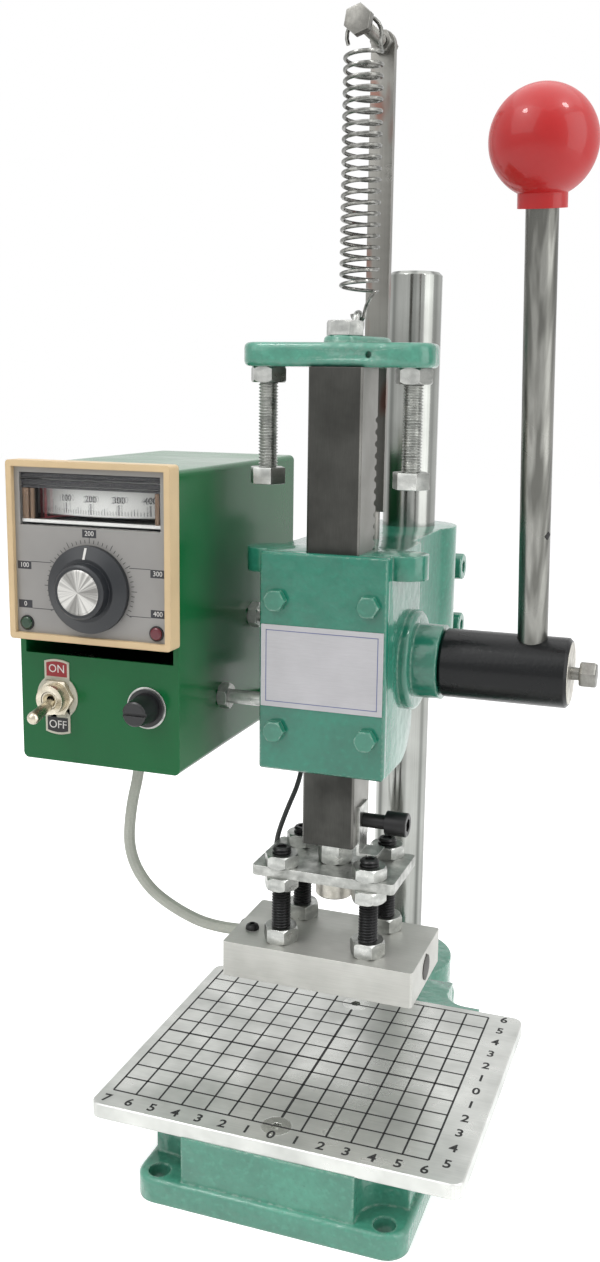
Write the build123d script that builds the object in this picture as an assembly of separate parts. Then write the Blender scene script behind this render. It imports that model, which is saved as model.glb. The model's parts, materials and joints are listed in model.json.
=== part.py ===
from build123d import *
import math
import os

# Bench-top hot foil stamping press, in millimetres.
# X is to the right, Y to the back, Z up. The origin is on the underside of the
# base, below the engraved zero of the worktable.

os.makedirs("parts", exist_ok=True)

# Base casting and worktable
base_width = 110.0
base_front_y = -64.0
base_full_back_y = 100.0
base_corner_radius = 9.0
foot_thickness = 10.0
pedestal_inset = 2.5
base_edge_round = 2.0
foot_hole_side_margin = 9.0
foot_hole_front_margin = 6.5
foot_hole_back_margin = 12.0
foot_hole_radius = 4.3
hole_relief_radius = 11.0
column_boss_radius = 28.0
boss_socket_floor = 3.0

table_width = 150.0
table_depth = 125.0
table_centre_y = 1.5
table_bottom_z = 29.0
table_thickness = 6.0
table_corner_radius = 4.5
table_edge = 0.4
table_screw_front_y = -50.0
table_screw_back_y = 51.0
table_screw_radius = 3.0
table_screw_head_radius = 6.0
table_screw_length = 20.0
table_screw_key = 4.0

# Column
column_radius = 12.5
column_y = 120.0
column_top_z = 366.0
column_chamfer = 1.5
column_fit = 0.05
set_screw_radius = 4.0
set_screw_z = 14.0
set_screw_length = 12.0
set_screw_key = 4.0

# Head casting
head_width = 52.0
head_shift_x = -2.0
head_bottom_z = 160.0
head_top_z = 249.3
head_back_y = 59.0
head_under_flat_y = 26.0
head_under_rise_y = 43.0
head_neck_z = 183.0
head_corner_radius = 8.0
neck_width = 38.0
neck_overlap = 10.0
sleeve_radius = 23.0
sleeve_bottom_z = 175.0
sleeve_slit = 3.0
lug_reach = 15.0
lug_width = 26.0
lug_bottom_z = 180.0
lug_top_z = 242.0
clamp_bolt_radius = 4.0
clamp_bolt_inset = 16.0
clamp_bolt_grip = 5.0
clamp_head_radius = 6.5
clamp_head = 8.0
clamp_key = 6.0
ear_reach = 38.0
ear_depth = 18.0
ear_thickness = 9.8
ear_centre_y = 17.0
gear_pad_radius = 21.0
gear_pad_height = 4.0
gear_boss_radius = 15.5
gear_boss_reach = 14.5

# Front cover of the ram guide, and its plate and bolts
cover_thickness = 5.0
cover_width = 52.8
cover_bolt_offset = 19.3
cover_bolt_low = 16.6
cover_bolt_high = 70.2
cover_bolt_radius = 2.5
cover_bolt_length = 14.0
cover_bolt_flats = 8.0
cover_bolt_head = 3.5
label_width = 51.0
label_height = 33.5
label_thickness = 0.5
label_low = 26.6

# Ram with its rack
ram_side = 22.0
ram_bottom_z = 128.0
ram_top_z = 321.2
ram_chamfer = 0.8
slide_clearance = 0.1
gear_module = 1.5
pressure_angle = 20.0
rack_low_z = 178.0
rack_high_z = 303.0
tooth_backlash = 0.12
ram_travel = 25.3

# Pinion, its shaft and the lever
pinion_teeth = 18
pinion_z = 202.0
pinion_width = 20.0
pinion_side_gap = 0.6
pinion_tip_gap = 0.9
shaft_radius = 8.0
shaft_fit = 0.05
shaft_left_x = -21.0
running_gap = 0.2
hub_radius = 14.25
hub_length = 52.0
hub_edge = 1.2
end_screw_head_radius = 7.0
end_screw_head_length = 10.3
end_screw_radius = 4.0
end_screw_depth = 22.0
end_screw_key = 6.0
lever_x = 75.0
lever_lean = 8.9
lever_rod_radius = 6.0
lever_length = 200.4
lever_rod_start = 9.0
knob_radius = 19.5
knob_neck_radius = 9.0
knob_neck_length = 6.0
knob_socket_depth = 22.0

# Bracket on top of the ram
bracket_reach = 39.0
bracket_depth = 22.0
bracket_centre_y = 17.0
bracket_thickness = 9.3
bracket_end_radius = 9.0
bracket_pad_height = 2.8
bracket_pad_radius = 8.2
bracket_lobe_radius = 13.5
bracket_lobe_y = 33.0
bracket_pin_hole_x = 12.7
bracket_pin_hole_radius = 1.3
bracket_pin_hole_depth = 3.0
ram_bolt_radius = 4.0
ram_bolt_length = 32.0
ram_bolt_flats = 13.0
ram_bolt_head = 5.6
stop_bolt_offset = 30.0
stop_bolt_radius = 4.0
stop_bolt_head = 6.9
stop_nut_height = 6.2
stop_nut_flats = 13.0
stop_thread_depth = 7.5

# Return spring, its eye and its post
spring_y = 33.0
spring_wire = 1.6
spring_outer_radius = 8.0
spring_low_z = 351.0
spring_high_z = 437.0
spring_turns = 21
spring_eye_radius = 3.4
hook_gap = 0.3
eye_wire_radius = 1.5
eye_centre_z = 339.0
post_width = 10.0
post_thickness = 3.0
post_y = 60.0
post_top_z = 455.0
post_flat_bottom_z = 261.0
post_stem_radius = 3.0
post_stem_depth = 16.0
post_screw_z = 450.0
post_screw_radius = 2.5
post_screw_front_y = 28.0
post_screw_head_radius = 7.2
post_screw_head = 4.5
post_screw_over = 1.0
post_screw_key = 4.0
post_nut_flats = 8.0
post_nut_height = 4.0

# Tool plate, its screws and the heated block
plate_width = 61.0
plate_depth = 35.0
plate_thickness = 4.3
plate_bottom_z = 113.8
stem_radius = 4.0
stem_nut_flats = 13.0
stem_head_radius = 7.8
stem_head_height = 10.5
stem_grip = 18.0
stem_key = 6.0
standoff_spacing_x = 38.0
standoff_spacing_y = 26.0
standoff_radius = 4.0
standoff_above_plate = 8.0
standoff_in_block = 10.0
standoff_key = 4.0
standoff_nut_flats = 13.0
standoff_nut_height = 5.4
block_nut_height = 6.5
block_width = 82.0
block_depth = 45.0
block_thickness = 15.0
block_bottom_z = 70.0
block_centre_y = 14.7
block_slot_width = 2.0
block_slot_depth = 5.0
block_slot_margin = 1.5
block_hole_x = -34.0
block_hole_y = 8.0
block_hole_radius = 2.3
block_hole_depth = 8.0
heater_radius = 5.0
heater_length = 74.0
heater_out = 3.0
heater_y = 20.0
heater_fit = 0.05
probe_radius = 2.0
probe_depth = 10.0
probe_out = 6.0
probe_x = -31.5
probe_y = 33.0

# Screw and clip on the side of the ram
side_screw_z = 137.5
side_screw_radius = 3.0
side_screw_head_radius = 5.0
side_screw_head = 9.0
side_screw_shank = 10.0
side_screw_grip = 5.5
side_screw_key = 5.0
clip_thickness = 1.2
clip_width = 11.0
clip_bottom_z = 123.5
clip_top_margin = 7.0
clip_reach = 9.0

# Control box
box_width = 72.0
box_centre_x = -90.4
box_front_y = -20.0
box_depth = 126.0
box_bottom_z = 159.0
box_height = 122.0
box_wall = 1.5
box_corner_radius = 2.5
back_flange = 8.0
back_screw_radius = 1.5
back_screw_head_radius = 2.8
back_screw_head = 1.6
back_screw_round = 1.2
back_screw_length = 5.0
back_screw_inset = 5.5
stud_radius = 3.0
stud_low_y = 21.0
stud_low_z = 183.0
stud_high_y = 54.5
stud_high_z = 212.5
stud_in_head = 12.0
stud_in_box = 9.0
stud_nut_flats = 10.0
stud_nut_height = 4.5

# Thermostat
bezel_rim = 2.6
bezel_depth = 8.0
bezel_shift_x = 0.4
bezel_over_box = 2.5
bezel_round = 1.5
thermo_body_inset = 5.0
thermo_back_space = 5.0
thermo_wall = 1.5
panel_fit = 0.3
panel_gap_below = 12.2
face_recess = 2.0
window_height = 21.0
window_side_margin = 2.4
window_top_margin = 2.2
window_thickness = 1.2
scale_side_gap = 1.1
needle_clearance = 2.8
meter_radius = 58.0
scale_thickness = 0.6
scale_gap = 1.2
needle_thickness = 0.6
needle_blade_width = 1.0
needle_blade_height = 13.0
needle_arm_width = 1.6
needle_hub_radius = 2.5
needle_hub_drop = 1.2
needle_lift = 2.0
scale_lift = 4.0
scale_top_margin = 2.2
scale_margin_angle = 4.0
dial_low_gap = 2.0
dial_radius = 17.5
dial_height = 9.8
dial_skirt = 2.2
dial_slope = 2.2
dial_shoulder_radius = 12.6
dial_grip_radius = 11.4
dial_taper = 0.6
dial_edge = 0.8
dial_gap = 0.4
dial_spindle_radius = 3.0
cap_radius = 9.0
cap_thickness = 0.8
cap_recess = 0.5
cap_edge = 0.3
lamp_radius = 2.6
lamp_stand = 1.4
lamp_margin_x = 4.4
lamp_margin_z = 3.9

# Toggle switch and fuse holder below the thermostat
toggle_side_margin = 16.9
toggle_rise = 4.85
toggle_bush_radius = 6.0
toggle_bush_bore = 3.7
toggle_bush_reach = 7.0
toggle_nut_flats = 14.0
toggle_nut_height = 2.5
toggle_body_width = 13.0
toggle_body_height = 28.0
toggle_body_depth = 20.0
toggle_ball_radius = 3.3
toggle_length = 18.0
toggle_root_radius = 1.6
toggle_tip_radius = 2.6
toggle_angle = 14.0
toggle_pivot_depth = 1.0
fuse_side_margin = 14.3
fuse_rise = 4.35
fuse_body_radius = 5.5
fuse_body_length = 32.0
fuse_flange_radius = 7.8
fuse_flange = 1.6
fuse_cap_radius = 6.2
fuse_cap_tip_radius = 5.0
fuse_cap_length = 10.0
fuse_slot_width = 1.4
fuse_slot_depth = 1.2

# Gland, grommet and mains inlet
gland_flats = 14.0
gland_nut_height = 4.0
gland_dome_radius = 5.6
gland_dome_height = 3.5
gland_thread_radius = 5.0
gland_thread_length = 5.0
cable_radius = 2.5
wire_radius = 1.1
cable_gap = 0.3
grommet_radius = 4.0
grommet_lip = 1.5
inlet_rise = 26.0
inlet_width = 27.4
inlet_height = 20.0
inlet_flange = 2.0
inlet_flange_thickness = 2.5
inlet_depth = 22.0
inlet_socket_width = 21.0
inlet_socket_height = 14.5
inlet_socket_depth = 15.0
inlet_pin_width = 2.0
inlet_pin_height = 4.0
inlet_pin_length = 9.0
inlet_pin_spacing = 7.0
inlet_pin_lift = 1.5

# Routes of the two free wires, chosen by hand, from the box to the block
heater_cable_points = [
    (-93.0, 20.0, 158.0),
    (-93.0, 20.0, 146.0),
    (-98.0, 20.0, 127.0),
    (-99.5, 20.0, 106.0),
    (-90.5, 20.0, 90.5),
    (-75.0, 20.0, 81.5),
    (-58.0, 20.0, 76.5),
    (-44.3, 20.0, 77.5),
]
sensor_wire_points = [
    (-56.5, 76.0, 172.0),
    (-46.5, 76.0, 172.0),
    (-35.5, 66.0, 166.5),
    (-27.0, 51.0, 158.0),
    (-22.3, 35.0, 146.0),
    (-28.0, 30.5, 130.0),
    (-32.8, 31.5, 116.0),
    (-32.5, 32.6, 103.5),
    (-31.5, 33.0, 91.3),
]

# Places worked out from the sizes above
foot_hole_x = base_width / 2 - foot_hole_side_margin
foot_hole_front_y = base_front_y + foot_hole_front_margin
foot_hole_back_y = base_full_back_y - foot_hole_back_margin
table_top_z = table_bottom_z + table_thickness
ram_front_y = cover_thickness + slide_clearance
ram_back_y = ram_front_y + ram_side
ram_y = ram_front_y + ram_side / 2
pitch_radius = gear_module * pinion_teeth / 2
pinion_tip_radius = pitch_radius + gear_module
pinion_y = ram_back_y - gear_module + pitch_radius
rack_pitch = math.pi * gear_module
rack_first_z = pinion_z - round((pinion_z - rack_low_z) / rack_pitch) * rack_pitch
rack_gaps = int((rack_high_z - rack_first_z) / rack_pitch) + 1
head_left_x = head_shift_x - head_width / 2
head_right_x = head_shift_x + head_width / 2
head_height = head_top_z - head_bottom_z
boss_end_x = head_right_x + gear_boss_reach
hub_start_x = boss_end_x + running_gap
hub_end_x = hub_start_x + hub_length
bracket_top_z = ram_top_z + bracket_thickness
pad_top_z = bracket_top_z + bracket_pad_height
plate_top_z = plate_bottom_z + plate_thickness
block_top_z = block_bottom_z + block_thickness
heater_z = block_bottom_z + block_thickness / 2
gland_x = heater_cable_points[0][0]
gland_y = heater_cable_points[0][1]
grommet_y = sensor_wire_points[0][1]
grommet_z = sensor_wire_points[0][2]
box_left_x = box_centre_x - box_width / 2
box_right_x = box_centre_x + box_width / 2
box_back_y = box_front_y + box_depth
box_top_z = box_bottom_z + box_height
bezel_front_y = box_front_y - bezel_depth
face_front_y = bezel_front_y + face_recess
bezel_side = box_width
bezel_centre_x = box_centre_x + bezel_shift_x
bezel_centre_z = box_top_z + bezel_over_box - bezel_side / 2
face_side = bezel_side - 2 * bezel_rim
face_top_z = bezel_centre_z + face_side / 2
face_bottom_z = bezel_centre_z - face_side / 2
window_top_z = face_top_z - window_top_margin
window_bottom_z = window_top_z - window_height
window_centre_z = (window_top_z + window_bottom_z) / 2
window_width = face_side - 2 * window_side_margin
thermo_body_side = bezel_side - 2 * thermo_body_inset
thermo_bottom_z = bezel_centre_z - thermo_body_side / 2
scale_half_width = thermo_body_side / 2 - thermo_wall - scale_side_gap
scale_outer_radius = meter_radius - scale_gap
scale_half_angle = math.degrees(math.asin(scale_half_width / scale_outer_radius))
meter_half_angle = scale_half_angle - scale_margin_angle
meter_pivot_y = face_front_y + window_thickness + needle_clearance + meter_radius
meter_back_y = meter_pivot_y + 2 * needle_hub_radius
panel_cut_bottom_z = thermo_bottom_z - panel_gap_below
panel_middle_z = (box_bottom_z + panel_cut_bottom_z) / 2
toggle_x = box_left_x + toggle_side_margin
toggle_z = panel_middle_z + toggle_rise
fuse_x = box_right_x - fuse_side_margin
fuse_z = panel_middle_z + fuse_rise
inlet_x = box_centre_x
inlet_z = box_bottom_z + inlet_rise
dial_z = face_bottom_z + dial_low_gap + dial_radius
toggle_pivot_y = box_front_y - toggle_pivot_depth
stop_head_bottom_z = head_top_z + ram_travel
stop_xs = [head_shift_x - stop_bolt_offset, head_shift_x + stop_bolt_offset]
standoff_places = [
    (sx * standoff_spacing_x / 2, ram_y + sy * standoff_spacing_y / 2)
    for sx in (-1, 1)
    for sy in (-1, 1)
]
clamp_y = column_y + sleeve_radius + lug_reach / 2
clamp_zs = [lug_bottom_z + clamp_bolt_inset, lug_top_z - clamp_bolt_inset]

# Turned edges of hexagons and cylinder heads, as shares of their own radius
corner_turning = 0.12
socket_head_edge = 0.08

AIMS = {
    "+x": Rot(0, 90, 0),
    "-x": Rot(0, -90, 0),
    "+y": Rot(-90, 0, 0),
    "-y": Rot(90, 0, 0),
    "+z": Rot(0, 0, 0),
    "-z": Rot(180, 0, 0),
}
FROM_BASE = (Align.CENTER, Align.CENTER, Align.MIN)


def stand(shape, place, aim="+z"):
    """Turn a shape built along +Z to an axis and move its foot to a place."""
    return Pos(*place) * AIMS[aim] * shape


def rod(radius, length, place, aim="+z"):
    """A cylinder from a place along an axis."""
    return stand(Cylinder(radius, length, align=FROM_BASE), place, aim)


def slab(x0, x1, y0, y1, z0, z1):
    """A box between two corners."""
    centre = ((x0 + x1) / 2, (y0 + y1) / 2, (z0 + z1) / 2)
    return Pos(*centre) * Box(x1 - x0, y1 - y0, z1 - z0)


def hexagon(flats, height, place, aim="+z"):
    """A hexagonal prism of a width across flats."""
    outline = RegularPolygon(flats / 2, 6, major_radius=False)
    return stand(extrude(outline, height), place, aim)


def nut(flats, height, bore, place, aim="+z"):
    """A hexagon nut with its bore and turned corners."""
    corner = flats / math.sqrt(3)
    turned = Cylinder(corner, height, align=FROM_BASE)
    turned = chamfer(turned.edges().filter_by(GeomType.CIRCLE), corner_turning * corner)
    body = extrude(RegularPolygon(flats / 2, 6, major_radius=False), height) & turned
    body -= Cylinder(bore, height, align=FROM_BASE)
    return stand(body, place, aim)


def hex_bolt(flats, head, radius, length, place, aim="+z"):
    """A hexagon bolt: the head stands from the place, the shank goes the other way."""
    corner = flats / math.sqrt(3)
    turned = Cylinder(corner, head, align=FROM_BASE)
    turned = chamfer(turned.edges().filter_by(GeomType.CIRCLE).sort_by(Axis.Z)[-1:], corner_turning * corner)
    body = extrude(RegularPolygon(flats / 2, 6, major_radius=False), head) & turned
    body += Pos(0, 0, -length) * Cylinder(radius, length, align=FROM_BASE)
    return stand(body, place, aim)


def socket_screw(head_radius, head, radius, length, key, place, aim="+z"):
    """A cylinder-head screw with a hexagon socket, its head standing from the place."""
    body = Cylinder(head_radius, head, align=FROM_BASE)
    rim = body.edges().filter_by(GeomType.CIRCLE).sort_by(Axis.Z)[-1:]
    body = chamfer(rim, socket_head_edge * head_radius)
    body += Pos(0, 0, -length) * Cylinder(radius, length, align=FROM_BASE)
    body -= Pos(0, 0, head / 2) * extrude(RegularPolygon(key / 2, 6, major_radius=False), head)
    return stand(body, place, aim)


def write(name, *solids):
    """Write one node, of one solid or of a group of separate solids."""
    shape = solids[0] if len(solids) == 1 else Compound(children=list(solids))
    export_step(shape, f"parts/{name}.step")


def base_outline(inset):
    """The base's plan: a wide front with rounded corners, and the column boss."""
    width = base_width - 2 * inset
    depth = base_full_back_y - base_front_y - 2 * inset
    centre_y = (base_full_back_y + base_front_y) / 2
    plan = Pos(0, centre_y) * RectangleRounded(width, depth, base_corner_radius - inset / 2)
    boss_radius = column_boss_radius + pedestal_inset - inset
    return plan + Pos(0, column_y) * Circle(boss_radius)


def base_casting():
    """Foot, pedestal with scooped corners round the four holes, and column boss."""
    foot = extrude(base_outline(0), foot_thickness)
    foot = fillet(foot.faces().sort_by(Axis.Z)[-1].edges(), base_edge_round)
    plan = base_outline(pedestal_inset)
    for x in (-foot_hole_x, foot_hole_x):
        for y, outward in ((foot_hole_front_y, -1), (foot_hole_back_y, 1)):
            side = math.copysign(1, x)
            reach = 2 * hole_relief_radius
            plan -= Pos(x, y) * Circle(hole_relief_radius)
            plan -= Pos(x + side * reach / 2, y) * Rectangle(reach, 2 * hole_relief_radius)
            plan -= Pos(x, y + outward * reach / 2) * Rectangle(2 * hole_relief_radius, reach)
    body = foot + extrude(plan, table_bottom_z)
    socket_depth = table_bottom_z - boss_socket_floor
    body -= rod(column_radius + column_fit, socket_depth, (0, column_y, boss_socket_floor))
    for x in (-foot_hole_x, foot_hole_x):
        for y in (foot_hole_front_y, foot_hole_back_y):
            body -= rod(foot_hole_radius, foot_thickness, (x, y, 0))
    for y in (table_screw_front_y, table_screw_back_y):
        depth = table_screw_length - table_thickness
        body -= rod(table_screw_radius, depth, (0, y, table_bottom_z - depth))
    body -= rod(set_screw_radius, 2 * column_boss_radius, (0, column_y, set_screw_z), "+y")
    return body


def table_screw(y):
    """A countersunk screw with a hexagon socket, flush with the table."""
    head = table_screw_head_radius - table_screw_radius
    cone = Pos(0, 0, -head) * Cone(table_screw_radius, table_screw_head_radius, head, align=FROM_BASE)
    shank = Cylinder(table_screw_radius, table_screw_length - head, align=FROM_BASE)
    shank = Pos(0, 0, -table_screw_length) * shank
    key = Pos(0, 0, -head) * extrude(RegularPolygon(table_screw_key / 2, 6, major_radius=False), head)
    return Pos(0, y, table_top_z) * (cone + shank - key)


def worktable_plate():
    """The ground steel table with its two countersunk holes."""
    plan = RectangleRounded(table_width, table_depth, table_corner_radius)
    plate = Pos(0, table_centre_y, table_bottom_z) * extrude(plan, table_thickness)
    plate = chamfer(plate.faces().sort_by(Axis.Z)[-1].edges(), table_edge)
    head = table_screw_head_radius - table_screw_radius
    for y in (table_screw_front_y, table_screw_back_y):
        plate -= rod(table_screw_radius, table_thickness, (0, y, table_bottom_z))
        cone = Cone(table_screw_radius, table_screw_head_radius, head, align=FROM_BASE)
        plate -= Pos(0, y, table_top_z - head) * cone
    return plate


def column():
    """The polished bar that carries the head."""
    bar = rod(column_radius, column_top_z - boss_socket_floor, (0, column_y, boss_socket_floor))
    return chamfer(bar.edges().filter_by(GeomType.CIRCLE), column_chamfer)


def column_set_screw():
    """The grub screw that holds the column in the boss."""
    start_y = column_y + column_radius
    screw = Cylinder(set_screw_radius, set_screw_length, align=FROM_BASE)
    key = extrude(RegularPolygon(set_screw_key / 2, 6, major_radius=False), set_screw_length / 2)
    screw -= Pos(0, 0, set_screw_length / 2) * key
    return stand(screw, (0, start_y, set_screw_z), "+y")


def head_body():
    """The head's block, with its rounded underside, neck and clamp sleeve."""
    with BuildSketch(Plane.YZ) as side:
        with BuildLine():
            front = (cover_thickness, head_bottom_z)
            flat = (head_under_flat_y, head_bottom_z)
            rise = (head_under_rise_y, head_neck_z)
            Line(front, flat)
            TangentArc(flat, rise, tangent=(1, 0))
            Line(rise, (head_back_y, head_neck_z))
            Line((head_back_y, head_neck_z), (head_back_y, head_top_z))
            Line((head_back_y, head_top_z), (cover_thickness, head_top_z))
            Line((cover_thickness, head_top_z), front)
        make_face()
    block = Pos(head_left_x, 0, 0) * extrude(side.sketch, head_width)
    corners = block.edges().filter_by(Axis.Z).sort_by(Axis.Y)[-2:]
    block = fillet(corners, head_corner_radius)
    neck_start_y = head_back_y - neck_overlap
    neck = slab(-neck_width / 2, neck_width / 2, neck_start_y, column_y, head_neck_z, head_top_z)
    sleeve = rod(sleeve_radius, head_top_z - sleeve_bottom_z, (0, column_y, sleeve_bottom_z))
    return block + neck + sleeve


def head_ears():
    """The two ears on which the stop bolts land."""
    plan = Pos(head_shift_x, ear_centre_y) * SlotOverall(2 * ear_reach, ear_depth)
    return Pos(0, 0, head_top_z - ear_thickness) * extrude(plan, ear_thickness)


def head_casting():
    """The head: ram guide, gear housing, ears, clamp sleeve and lugs."""
    body = head_body() + head_ears()
    pad = rod(gear_pad_radius, gear_pad_height, (head_right_x, pinion_y, pinion_z), "+x")
    pad = fillet(pad.edges().filter_by(GeomType.CIRCLE).sort_by(Axis.X)[-1:], gear_pad_height / 2)
    body += pad
    body += rod(gear_boss_radius, gear_boss_reach, (head_right_x, pinion_y, pinion_z), "+x")
    lug_back_y = column_y + sleeve_radius + lug_reach
    half_lug = lug_width / 2
    body += slab(-half_lug, half_lug, column_y + column_radius, lug_back_y, lug_bottom_z, lug_top_z)
    half_guide = ram_side / 2 + slide_clearance
    guide_back_y = ram_back_y + slide_clearance
    body -= slab(-half_guide, half_guide, 0, guide_back_y, head_bottom_z, head_top_z)
    half_cavity = pinion_width / 2 + pinion_side_gap
    cavity_radius = pinion_tip_radius + pinion_tip_gap
    body -= rod(cavity_radius, 2 * half_cavity, (-half_cavity, pinion_y, pinion_z), "+x")
    bore_length = boss_end_x - shaft_left_x
    body -= rod(shaft_radius + shaft_fit, bore_length, (shaft_left_x, pinion_y, pinion_z), "+x")
    sleeve_height = head_top_z - sleeve_bottom_z
    body -= rod(column_radius + column_fit, sleeve_height, (0, column_y, sleeve_bottom_z))
    slit_back_y = lug_back_y + slide_clearance
    body -= slab(-sleeve_slit / 2, sleeve_slit / 2, column_y, slit_back_y, sleeve_bottom_z, head_top_z)
    for z in clamp_zs:
        body -= rod(clamp_bolt_radius, lug_width, (-lug_width / 2, clamp_y, z), "+x")
    for x in (head_shift_x - cover_bolt_offset, head_shift_x + cover_bolt_offset):
        for z in (head_bottom_z + cover_bolt_low, head_bottom_z + cover_bolt_high):
            body -= rod(cover_bolt_radius, cover_bolt_length, (x, 0, z), "+y")
    for y, z in ((stud_low_y, stud_low_z), (stud_high_y, stud_high_z)):
        body -= rod(stud_radius, stud_in_head, (head_left_x, y, z), "+x")
    body -= rod(post_stem_radius, post_stem_depth, (0, post_y, head_top_z - post_stem_depth))
    return body


def front_cover():
    """The plate that closes the ram guide."""
    x0 = head_shift_x - cover_width / 2
    plate = slab(x0, x0 + cover_width, 0, cover_thickness, head_bottom_z, head_top_z)
    plate = chamfer(plate.faces().sort_by(Axis.Y)[0].edges(), 0.6)
    for x in (head_shift_x - cover_bolt_offset, head_shift_x + cover_bolt_offset):
        for z in (head_bottom_z + cover_bolt_low, head_bottom_z + cover_bolt_high):
            plate -= rod(cover_bolt_radius, cover_thickness, (x, 0, z), "+y")
    return plate


def cover_bolts():
    """The cover's four hexagon bolts."""
    bolts = []
    for x in (head_shift_x - cover_bolt_offset, head_shift_x + cover_bolt_offset):
        for z in (head_bottom_z + cover_bolt_low, head_bottom_z + cover_bolt_high):
            sizes = (cover_bolt_flats, cover_bolt_head, cover_bolt_radius, cover_bolt_length)
            bolts.append(hex_bolt(*sizes, (x, 0, z), "-y"))
    return bolts


def label_plate():
    """The bare plate on the cover."""
    z0 = head_bottom_z + label_low
    x0 = head_shift_x - label_width / 2
    return slab(x0, x0 + label_width, -label_thickness, 0, z0, z0 + label_height)


def clamp_bolts():
    """The two screws that close the sleeve on the column."""
    length = lug_width + clamp_bolt_grip
    sizes = (clamp_head_radius, clamp_head, clamp_bolt_radius, length, clamp_key)
    return [socket_screw(*sizes, (lug_width / 2, clamp_y, z), "+x") for z in clamp_zs]


def rack_gap():
    """One gap of the rack, cut from the ram's back face, its middle at z = 0."""
    slope = math.tan(math.radians(pressure_angle))
    half_pitch_width = rack_pitch / 4
    root_depth = 1.25 * gear_module
    outer = half_pitch_width + slope * gear_module
    inner = half_pitch_width - slope * root_depth
    over = slope * ram_chamfer
    root_y = ram_back_y - gear_module - root_depth
    points = [
        (ram_back_y + ram_chamfer, -outer - over),
        (root_y, -inner),
        (root_y, inner),
        (ram_back_y + ram_chamfer, outer + over),
    ]
    reach = ram_side / 2 + ram_chamfer
    gap = extrude(Plane.YZ * make_face(Polyline(*points, close=True)), 2 * reach)
    return Pos(-reach, 0, 0) * gap


def ram():
    """The square ram with the rack on its back face."""
    half = ram_side / 2
    bar = slab(-half, half, ram_front_y, ram_back_y, ram_bottom_z, ram_top_z)
    bar = chamfer(bar.edges().filter_by(Axis.Z), ram_chamfer)
    gap = rack_gap()
    for index in range(rack_gaps):
        bar -= Pos(0, 0, rack_first_z + index * rack_pitch) * gap
    bolt_depth = ram_bolt_length - bracket_thickness - bracket_pad_height
    bar -= rod(ram_bolt_radius, bolt_depth, (0, ram_y, ram_top_z), "-z")
    bar -= rod(stem_radius, stem_grip, (0, ram_y, ram_bottom_z))
    bar -= rod(side_screw_radius, side_screw_grip, (half, ram_y, side_screw_z), "-x")
    return bar


def involute(radius):
    """The involute function at a radius of the pinion."""
    angle = math.acos(min(1.0, pitch_radius * math.cos(math.radians(pressure_angle)) / radius))
    return math.tan(angle) - angle


def pinion_gear():
    """The pinion, one tooth pointing at the rack."""
    root_radius = pitch_radius - 1.25 * gear_module
    base_radius = pitch_radius * math.cos(math.radians(pressure_angle))
    half_tooth = math.pi / (2 * pinion_teeth) - tooth_backlash / pitch_radius
    flank = [(root_radius, half_tooth + involute(pitch_radius))]
    for radius in (base_radius, pitch_radius, pinion_tip_radius):
        flank.append((radius, half_tooth + involute(pitch_radius) - involute(radius)))
    points = []
    for tooth in range(pinion_teeth):
        middle = 2 * math.pi * tooth / pinion_teeth
        for radius, offset in flank:
            points.append((radius * math.cos(middle - offset), radius * math.sin(middle - offset)))
        for radius, offset in reversed(flank):
            points.append((radius * math.cos(middle + offset), radius * math.sin(middle + offset)))
    outline = Plane.YZ * make_face(Polyline(*points, close=True))
    gear = extrude(outline, pinion_width)
    gear = Pos(-pinion_width / 2, pinion_y, pinion_z) * Rot(180, 0, 0) * gear
    return gear - rod(shaft_radius, pinion_width, (-pinion_width / 2, pinion_y, pinion_z), "+x")


def pinion_shaft():
    """The shaft through the gear housing and the lever hub."""
    shaft = rod(shaft_radius, hub_end_x - shaft_left_x, (shaft_left_x, pinion_y, pinion_z), "+x")
    shaft -= rod(end_screw_radius, end_screw_depth, (hub_end_x, pinion_y, pinion_z), "-x")
    return shaft - lever_rod_bore()


def lever_frame(distance):
    """The place at a distance along the lever from the shaft's axis, aimed along it."""
    lean = math.radians(lever_lean)
    y = pinion_y - distance * math.sin(lean)
    z = pinion_z + distance * math.cos(lean)
    return Pos(lever_x, y, z) * Rot(lever_lean, 0, 0)


def lever_rod_bore():
    """The space of the rod in the hub and the shaft."""
    return lever_frame(lever_rod_start) * Cylinder(lever_rod_radius, hub_radius, align=FROM_BASE)


def lever_hub():
    """The black hub that turns the pinion shaft."""
    hub = rod(hub_radius, hub_length, (hub_start_x, pinion_y, pinion_z), "+x")
    hub = chamfer(hub.edges().filter_by(GeomType.CIRCLE), hub_edge)
    hub -= rod(shaft_radius, hub_length, (hub_start_x, pinion_y, pinion_z), "+x")
    return hub - lever_rod_bore()


def hub_end_screw():
    """The screw in the end of the shaft that keeps the hub on."""
    sizes = (end_screw_head_radius, end_screw_head_length, end_screw_radius, end_screw_depth, end_screw_key)
    return socket_screw(*sizes, (hub_end_x, pinion_y, pinion_z), "+x")


def lever_rod():
    """The lever's bar, from the hub into the ball."""
    top = lever_length - knob_radius + knob_socket_depth
    return lever_frame(lever_rod_start) * Cylinder(lever_rod_radius, top - lever_rod_start, align=FROM_BASE)


def lever_knob():
    """The ball on the lever, with its short neck."""
    ball = Sphere(knob_radius)
    neck_base = -(knob_radius + knob_neck_length / 2)
    ball += Pos(0, 0, neck_base) * Cylinder(knob_neck_radius, knob_neck_length * 2, align=FROM_BASE)
    socket_top = knob_socket_depth - knob_radius
    ball -= Pos(0, 0, neck_base) * Cylinder(lever_rod_radius, socket_top - neck_base, align=FROM_BASE)
    return lever_frame(lever_length) * ball


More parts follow.
